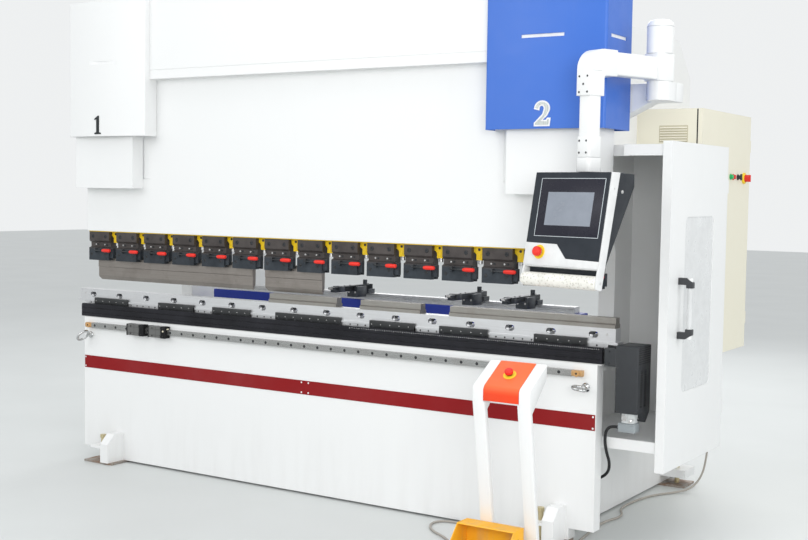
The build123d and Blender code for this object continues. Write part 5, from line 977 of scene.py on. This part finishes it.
def pedal_details():
    """Side bosses, screws and gland of the hood, and non-slip ribs on the pedal."""
    p = Solid()
    axle_y, axle_z = -622.0, 46.0
    for x, out in ((1221, -1), (1475, 1)):
        p.turn([(0, 0), (9, 0), (9.4, 0.8), (9.4, 3), (8, 4), (0, 4.2)], (x, axle_y, axle_z), (out, 0, 0), 24)
        for y, z in ((-640, 150), (-700, 60)):
            p.pan_screw((x, y, z), (out, 0, 0), 4.5, 1)
    p.turn([(0, 0), (5.4, 0), (7, 2), (8.2, 10), (10, 11), (10, 17), (0, 17)], (1204.6, -632, 20), RIGHT, 24, 1)
    p.make("pedal_guard_details", "root", "pedal_yellow dark")
    p = Solid()
    for k in range(11):
        y = axle_y - 14 - 9.6 * k
        z = axle_z + 10 - (y - axle_y) * 16 / 120
        p.box((1276, y - 2.2, z - 1), (1420, y + 2.2, z + 1.4), 0.8)
    p.make("foot_pedal_ribs", "foot_pedal", "dark")


# Side guard door
def door_pieces():
    """Pane in the door's window, and the dark brackets and pale bar of the handle."""
    p = Solid()
    p.box((1811.0, 183, 656), (1812.6, 539, 1401), 0)
    p.make("door_pane", "guard_door", "pane", smooth=False)
    p = Solid()
    for z, out in ((907, -1), (1135, 1)):
        outline = ((1814.9, 14.5), (1850, 14.5), (1878.5, -4), (1878.5, -28), (1849.5, -28), (1849.5, -14.5),
                   (1814.9, -14.5))
        p.prism([(x, z + rise * out) for x, rise in outline], "Y", 109.5, 136.5, 2.0, 3)
    p.make("door_handle_brackets", "guard_door", "handle_dark")
    p = Solid()
    p.turn([(0, 0), (11.3, 0), (11.3, 226), (0, 226)], (1864, 123, 908), UP, 28)
    p.make("door_handle_bar", "guard_door", "handle_bar")


# Cabinet
def cabinet_details():
    """Round lock, lamps, selector and main switch, hinge caps, louvres and the seam beside the door."""
    face = 1679.3
    p = Solid()
    p.turn([(0, 0), (14.3, 0), (14.3, 7.6), (13, 8.4), (6.5, 8.4), (6, 7), (0, 7)], (face, 795, 1700), RIGHT, 30)
    # near-black key slot: painted shade
    p.box((face + 6.6, 793.6, 1695), (face + 8.0, 796.4, 1705), 0.3, 1, 1)
    p.make("cabinet_lock", "cabinet_door", "screw_steel recess")

    p = Solid()
    base = [(0, 0), (14, 0), (14.5, 1), (14.5, 5)]
    lamp = base + [(11, 6), (11, 14), (10, 15.5), (0, 15.5)]
    selector = base + [(10, 6), (10, 17), (0, 17)]
    switch_plate = [(0, 0), (27, 0), (28, 1), (28, 8), (25, 10), (0, 10)]
    switch_knob = [(0, 9), (17, 9), (18, 10), (18, 28), (16, 30), (0, 30)]
    for profile, y, z, count, material in ((lamp, 1175, 1590, 28, 1), (lamp, 1215, 1590, 28, 2),
                                           (selector, 1290, 1590, 28, 3), (switch_plate, 1385, 1586, 36, 0),
                                           (switch_knob, 1385, 1586, 32, 2)):
        p.turn(profile, (face, y, z), RIGHT, count, material)
    p.box((face + 14, 1286, 1574), (face + 24, 1294, 1606), 2.0, 2, 3)
    p.box((face + 28, 1380, 1568), (face + 38, 1390, 1604), 2.5, 2, 2)
    p.turn([(12, -1), (33, -1), (33.6, 0), (33.6, 4.0), (32, 4.8), (12, 4.8)], (face - 0.2, 900, 1640), RIGHT, 40)
    p.make("cabinet_buttons", "cabinet_door", "estop_yellow lamp_green lamp_red screw_black")

    p = Solid()
    for z in (839, 1720):
        for low in (z - 20, z + 64):
            p.turn([(0, 0), (9.3, 0), (9.3, 16), (0, 16)], (1657.3, 1493, low), UP, 24)
        p.turn([(0, 0), (6, 0), (6.5, 1), (6.5, 3), (4, 4.5), (0, 4.5)], (1657.3, 1493, z + 80), UP)
    p.make("cabinet_hinge_caps", "root", "grey")

    p = Solid()
    p.box((1470, 744.4, 1743), (1610, 745.2, 1822), 0, 1, 2)
    for z in range(1750, 1811, 12):
        p.prism([(745.0, z + 5.8), (740.6, z + 0.4), (740.6, z - 1.4), (745.0, z + 0.2)], "X", 1474, 1606)
    p.box((1652.5, 744.2, 722), (1658.5, 745.4, 1897), 0, 1, 3)
    p.make("cabinet_louvres", "root", "beige screw_steel louvre_shade recess")


# Swivel arm, drawn about its pivot and pointing to -Y
ARM = Matrix.Translation((1722, 72, 0)) @ Matrix.Rotation(radians(-20), 4, "Z")


def soft_square(centre_y, half, radius, steps=4):
    """A square outline with rounded corners, on the arm's middle line."""
    points = []
    for turn, side, ahead in ((0, 1, 1), (90, -1, 1), (180, -1, -1), (270, 1, -1)):
        centre = (side * (half - radius), centre_y + ahead * (half - radius))
        points += arc(centre, (radius, radius), turn, turn + 90, steps)
    return points


def arm_pieces():
    """Cast pivot with its domed drum, the boom, the deep elbow casting and the square post."""
    low, top, corner = 1964.3, 2066, 82
    p = Solid(ARM)
    p.prism(soft_square(0, 49, 22, 6), "Z", low, low + 113, 2)
    dome = [(0, 113), (55, 113), (55, 224)] + arc((25, 224), (30, 29), 0, 90, 8)[1:] + [(0, 253)]
    p.turn(dome, (0, 0, low), UP, 64)
    p.box((-31, -300, 1968), (31, -40, 2060), 8, 4)
    elbow = [(-445, 1880)] + arc((corner - 445, top - corner), (corner, corner), 180, 90, 8)
    elbow += [(-290, top), (-290, 1962), (-351, 1962)] + arc((-351, 1950), (12, 12), 90, 180, 4) + [(-363, 1880)]
    p.prism(elbow, "X", -37, 37, 7, 4)
    p.prism(soft_square(-404, 32, 11), "Z", 1630, 1882, 1)
    p.prism(soft_square(-404, 38, 15), "Z", 1580, 1636.5, 2)
    p.prism(soft_square(-404, 36.5, 13), "Z", 1638, 1721, 2.5, 3)
    p.prism(soft_square(-404, 37.2, 12), "Z", 1978, 1979.2, material=1)
    p.turn([(54, -0.8), (55.4, -0.8), (55.4, 0.8), (54, 0.8)], (0, 0, low + 224), UP, 56, 1)
    p.make("swivel_arm_castings", "swivel_arm", "white seam", "swivel_arm")


def arm_bracket():
    """The gusseted bracket on the side frame and the block under the arm's pivot."""
    p = Solid()
    gusset = [(1357.3, 1765), (1417, 1765), (1662, 1885), (1771, 1885), (1771, 1964), (1357.3, 1964)]
    p.prism(gusset, "Y", 135, 230, 3)
    plan = [(1673, 140), (1673, 58)] + arc((1722, 66), (49, 43), 180, 360, 8) + [(1771, 140)]
    p.prism(plan, "Z", 1885, 1964, 3)
    for z in (1790, 1925):
        p.screw((1383, 134.8, z), OUT, 8, 5, 1)
    p.make("arm_bracket_casting", "root", "white screw_steel", "arm_bracket")


def arm_details():
    """Screws of the arm's elbow and collar."""
    p = Solid(ARM)
    for x, z in ((-22, 1894), (22, 1894), (-22, 1956), (22, 1956), (0, 1925)):
        p.screw((x, -445.2, z), OUT, 4.4, 1.3)
    for x in (-19, 19):
        for z in (1656, 1703):
            p.screw((x, -440.7, z), OUT, 4.4, 1.3)
    p.make("arm_fasteners", "swivel_arm", "screw_black")


# Covers
def cover_slots():
    """Pale liners seen through the slots of the two cylinder covers."""
    p = Solid()
    for x0, x1, front in ((-1396, -1190, -156.8), (1190, 1396, -152.4)):
        p.box((x0, front, 2141), (x1, -151.2, 2163), 0)
    for x0, x1 in ((-1569.4, -1568.2), (1568.2, 1569.4)):
        p.box((x0, -91, 2135), (x1, 74, 2157), 0)
    p.make("cover_slot_liners", "root", "slot_white", smooth=False)


def notch_panels():
    """White closing strips beside the rod covers, flush with the ram."""
    p = Solid()
    for x0, x1 in ((-1106, -1051), (1051, 1106)):
        p.box((x0, -39.6, 1541), (x1, -36.5, 1880), 0.6, 1)
    p.make("ram_notch_panels", "ram", "white")


# Plain serif figures, 100 high
FIGURE_ONE = [(-24, 0), (24, 0), (24, 7), (10, 11), (10, 100), (2, 100), (-24, 84), (-24, 77), (-10, 82), (-10, 11),
              (-24, 7)]
FIGURE_TWO = ([(-32, 0), (32, 0), (35, 24), (29, 24), (24, 15), (-8, 15), (20, 44)]
              + arc((0, 72), (32, 28), 175, -35, 16)[::-1] + [(-19, 71)]
              + arc((-2, 71), (17, 19), -30, 178, 12)[::-1][1:] + [(8, 44), (-32, 6)])


def grown(outline, amount):
    """An outline pushed outwards by an amount."""
    after = outline[1:] + outline[:1]
    area = sum(x0 * y1 - x1 * y0 for (x0, y0), (x1, y1) in zip(outline, after))
    side = 1 if area > 0 else -1
    points = []
    for last, here, following in zip(outline[-1:] + outline[:-1], outline, after):
        first = (Vector(here) - Vector(last)).normalized()
        second = (Vector(following) - Vector(here)).normalized()
        a = Vector((first.y, -first.x)) * side
        b = Vector((second.y, -second.x)) * side
        middle = a + b
        if middle.length < 0.3:
            middle = a
        middle.normalize()
        reach = min(amount / max(middle.dot(a), 0.35), amount * 1.8)
        points.append((here[0] + middle.x * reach, here[1] + middle.y * reach))
    return points


def figure(name, outline, centre_x, low_z, size, rim, materials):
    """A raised figure on a bowed cover, with or without a rim."""
    p = Solid()
    placed = [(centre_x + x * size / 100, low_z + z * size / 100) for x, z in outline]
    if rim > 0:
        p.prism(grown(placed, rim), "Y", -150, -160.6, material=1)
    p.prism(placed, "Y", -150, -161.4)
    p.make(f"cover_figure_{name}", "root", materials, smooth=False)


# Back gauge
def gauge_details():
    """Finger bars, clamp blocks, knobs and screws, and the screws of the cross rail."""
    knob = [(0, 0), (11.2, 0), (11.6, 2), (11.2, 5), (11.6, 8), (11.2, 12), (11.6, 16), (11.3, 22), (9.5, 24.3),
            (0, 24.4)]
    for number, x in ((1, -100), (2, 600), (3, 900)):
        p = Solid()
        p.box((x - 17, 300, 968), (x + 17, 640, 996.2), 1.5)
        p.box((x - 32, 470, 934), (x + 32, 558, 990), 2.0)
        p.box((x - 24, 330, 972), (x + 24, 372, 999), 1.5)
        p.turn(knob, (x, 590, 996.4), UP, 28)
        for y in (400, 450, 620):
            p.screw((x, y, 996.2), UP, 5, 3, 1)
        p.box((x - 12, 279.6, 985), (x + 12, 292, 994.4), 1, 2, 2)
        for dx in (-20, 20):
            p.screw((x + dx, 469.8, 960), OUT, 5, 2, 2)
        p.make(f"gauge_finger_{number}_details", f"gauge_finger_{number}",
               "finger screw_black screw_steel")
    p = Solid()
    for x in range(-1120, 1095, 82):
        p.screw((x, 610, 949.2), UP, 5.2, 0.35)
    p.make("gauge_rail_screws", "gauge_rail", "screw_black")


# Bed and frames
def weld_beads():
    """Rippled fillet welds along the bed, the feet and the cross tube."""
    p = Solid()

    def bead(start, end, radius):
        """One weld between two points."""
        along = Vector(end) - Vector(start)
        rows = max(6, int(along.length / 7))
        part = bmesh.new()
        skin(part, [circle(radius * (0.86 + 0.14 * sin(row * 2.1)) * (0.35 if row in (0, rows) else 1),
                           along.length * row / rows, 8) for row in range(rows + 1)])
        p.add(part, 0, aimed(start, along))

    for side in (-1, 1):
        bead((side * 1359, 5.5, 60), (side * 1359, 5.5, 740), 4)
        bead((side * 1275, 5.5, 60), (side * 1275, 5.5, 740), 3.5)
        x0 = side * 1320 + 30
        for x in (x0, x0 + 55):
            bead((x, -62, 16), (x, -62, 160), 3)
        bead((x0 - 70, -62, 98.5), (x0, -62, 98.5), 3)
        bead((side * 1357, 1180, 92), (side * 1357, 1322, 92), 3.5)
        bead((side * 1275.5, 1341.5, 300), (side * 1275.5, 1341.5, 460), 3.5)
    p.make("weld_beads", "root", "white")


# Everything that is added to the plain shapes
def dress_machine():
    clamp_fasteners()
    rail_fasteners()
    for index, x in enumerate(CLAMPS):
        lever(index + 1, x)
    slot_inserts()
    table_fasteners()
    scale_marks()
    profile_ends()
    rail_details()
    carriage_caps("left", -1108, False)
    carriage_caps("right", -952, True)
    stripe_screws()
    eye_rings()
    drive_casing()
    drive_motor()
    pendant_body()
    pendant_front()
    arm_pieces()
    arm_bracket()
    arm_details()
    door_pieces()
    cabinet_details()
    cover_slots()
    notch_panels()
    figure("one", FIGURE_ONE, -1329, 1775, 98, 0, "figure_dark")
    figure("two", FIGURE_TWO, 1300, 1780, 95, 6.5, "figure_grey white_mark")
    console_pieces()
    console_details()
    pedal_details()
    gauge_details()
    weld_beads()
    quarter = radians(90)
    stop_button("cabinet", Matrix.Translation((1683.3, 900, 1640)) @ Matrix.Rotation(quarter, 4, "Y"), 20)
    stop_button("pendant", PENDANT @ Matrix.Translation((STOP_X, -4, -323)) @ Matrix.Rotation(quarter, 4, "X"), 20)
    stop_button("console", console_matrix(3.0), 17)


dress_machine()


# Cords
def cord(node, colour, points, diameter):
    """A sheath along its route, in place of the node."""
    name = f"{node}_sheath"
    data = bpy.data.curves.new(name, "CURVE")
    data.dimensions = "3D"
    spline = data.splines.new("NURBS")
    spline.points.add(len(points) - 1)
    for control, point in zip(spline.points, points):
        control.co = (*[value / 1000 for value in point], 1)
    spline.order_u = 3
    spline.use_endpoint_u = True
    spline.resolution_u = 10
    data.bevel_depth = diameter / 2
    data.bevel_resolution = 4
    data.use_fill_caps = True
    data.materials.append(M[f"cable_{colour}"])
    obj = show(name, data, "root", node)


MOTOR_CABLE = [
    (1612, -16, 515.5), (1588, -16, 515.5), (1568, -16, 503), (1558, -14, 477), (1556, -9, 440), (1560, 0, 398),
    (1566, 22, 352), (1556, 40, 308), (1520, 56, 274), (1470, 66, 256), (1412, 70, 248), (1357, 70, 248),
]
ON_FLOOR = 5.3
CONSOLE_CABLE = [(1205, -632, 20), (1162, -632, 20), (1105, -608, 9)] + [(x, y, ON_FLOOR) for x, y in (
    (1060, -545), (1040, -450), (1008, -365), (940, -310), (868, -270), (812, -210), (790, -140), (822, -92),
    (890, -84), (970, -116), (1060, -180), (1160, -228), (1270, -244), (1370, -236), (1440, -190), (1462, -110),
    (1456, -10), (1440, 110), (1422, 230), (1424, 340), (1446, 420), (1440, 490), (1398, 560), (1384, 650),
    (1390, 760), (1405, 870), (1440, 970), (1495, 1055))] + [
    (1550, 1120, 20), (1585, 1168, 80), (1597, 1192, 170), (1602, 1200, 290), (1598, 1202, 420), (1600, 1202, 545),
    (1600, 1200, 630), (1600, 1200, 695)]
cord("motor_cable", "black", MOTOR_CABLE, 0.013)
cord("console_cable", "grey", CONSOLE_CABLE, 0.010)


# Studio
def studio_floor():
    s = Shade("studio_floor")
    s.put(s.bsdf.inputs["Base Color"], s.over((0.60, 0.62, 0.61), (0.63, 0.65, 0.64), s.noise(1.2, 3), 0.3, 0.7))
    s.put(s.bsdf.inputs["Roughness"], 0.42)
    size = 30
    bm = bmesh.new()
    corners = (-size, -size), (size, -size), (size, size), (-size, size)
    bm.faces.new([bm.verts.new((x, y, -0.0005)) for x, y in corners])
    data = bpy.data.meshes.new("studio_floor")
    bm.to_mesh(data)
    bm.free()
    data.materials.append(s.material)
    floor = bpy.data.objects.new("studio_floor", data)
    SCENE.collection.objects.link(floor)


def studio_world():
    """Cool soft light all around, and a paler grey where the camera or a gloss sees it."""
    world = bpy.data.worlds.new("studio")
    SCENE.world = world
    world.use_nodes = True
    tree = world.node_tree
    tree.nodes.clear()
    out, light, shown, path, either, mix = (tree.nodes.new(kind) for kind in (
        "ShaderNodeOutputWorld", "ShaderNodeBackground", "ShaderNodeBackground", "ShaderNodeLightPath",
        "ShaderNodeMath", "ShaderNodeMixShader"))
    light.inputs[0].default_value = (0.95, 0.975, 1.0, 1)
    light.inputs[1].default_value = 0.80
    shown.inputs[0].default_value = (0.86, 0.875, 0.88, 1)
    shown.inputs[1].default_value = 1.0
    either.operation = "MAXIMUM"
    links = ((path.outputs["Is Camera Ray"], either.inputs[0]), (path.outputs["Is Glossy Ray"], either.inputs[1]),
             (either.outputs[0], mix.inputs[0]), (light.outputs[0], mix.inputs[1]),
             (shown.outputs[0], mix.inputs[2]), (mix.outputs[0], out.inputs[0]))
    for start, end in links:
        tree.links.new(start, end)


def lamp(name, place, aim, size, power):
    data = bpy.data.lights.new(name, "AREA")
    data.shape = "RECTANGLE"
    data.size, data.size_y = size
    data.energy = power
    obj = bpy.data.objects.new(name, data)
    SCENE.collection.objects.link(obj)
    obj.location = place
    obj.rotation_euler = (Vector(aim) - Vector(place)).to_track_quat("-Z", "Y").to_euler()


studio_floor()
studio_world()
lamp("key", (-2.5, -5.6, 3.6), (0, 0, 0.9), (4.5, 3.0), 92)
lamp("fill", (4.6, -5.2, 2.2), (1.0, 0.4, 0.9), (3.0, 2.2), 150)
lamp("side", (5.5, -0.5, 3.0), (0.8, 0.4, 1.0), (3.0, 3.0), 45)
lamp("top", (0.5, -0.5, 5.6), (0, 0, 0.5), (5.0, 3.5), 70)
lamp("back", (-1.0, 5.5, 4.2), (0, 0.5, 1.0), (5.0, 3.0), 150)
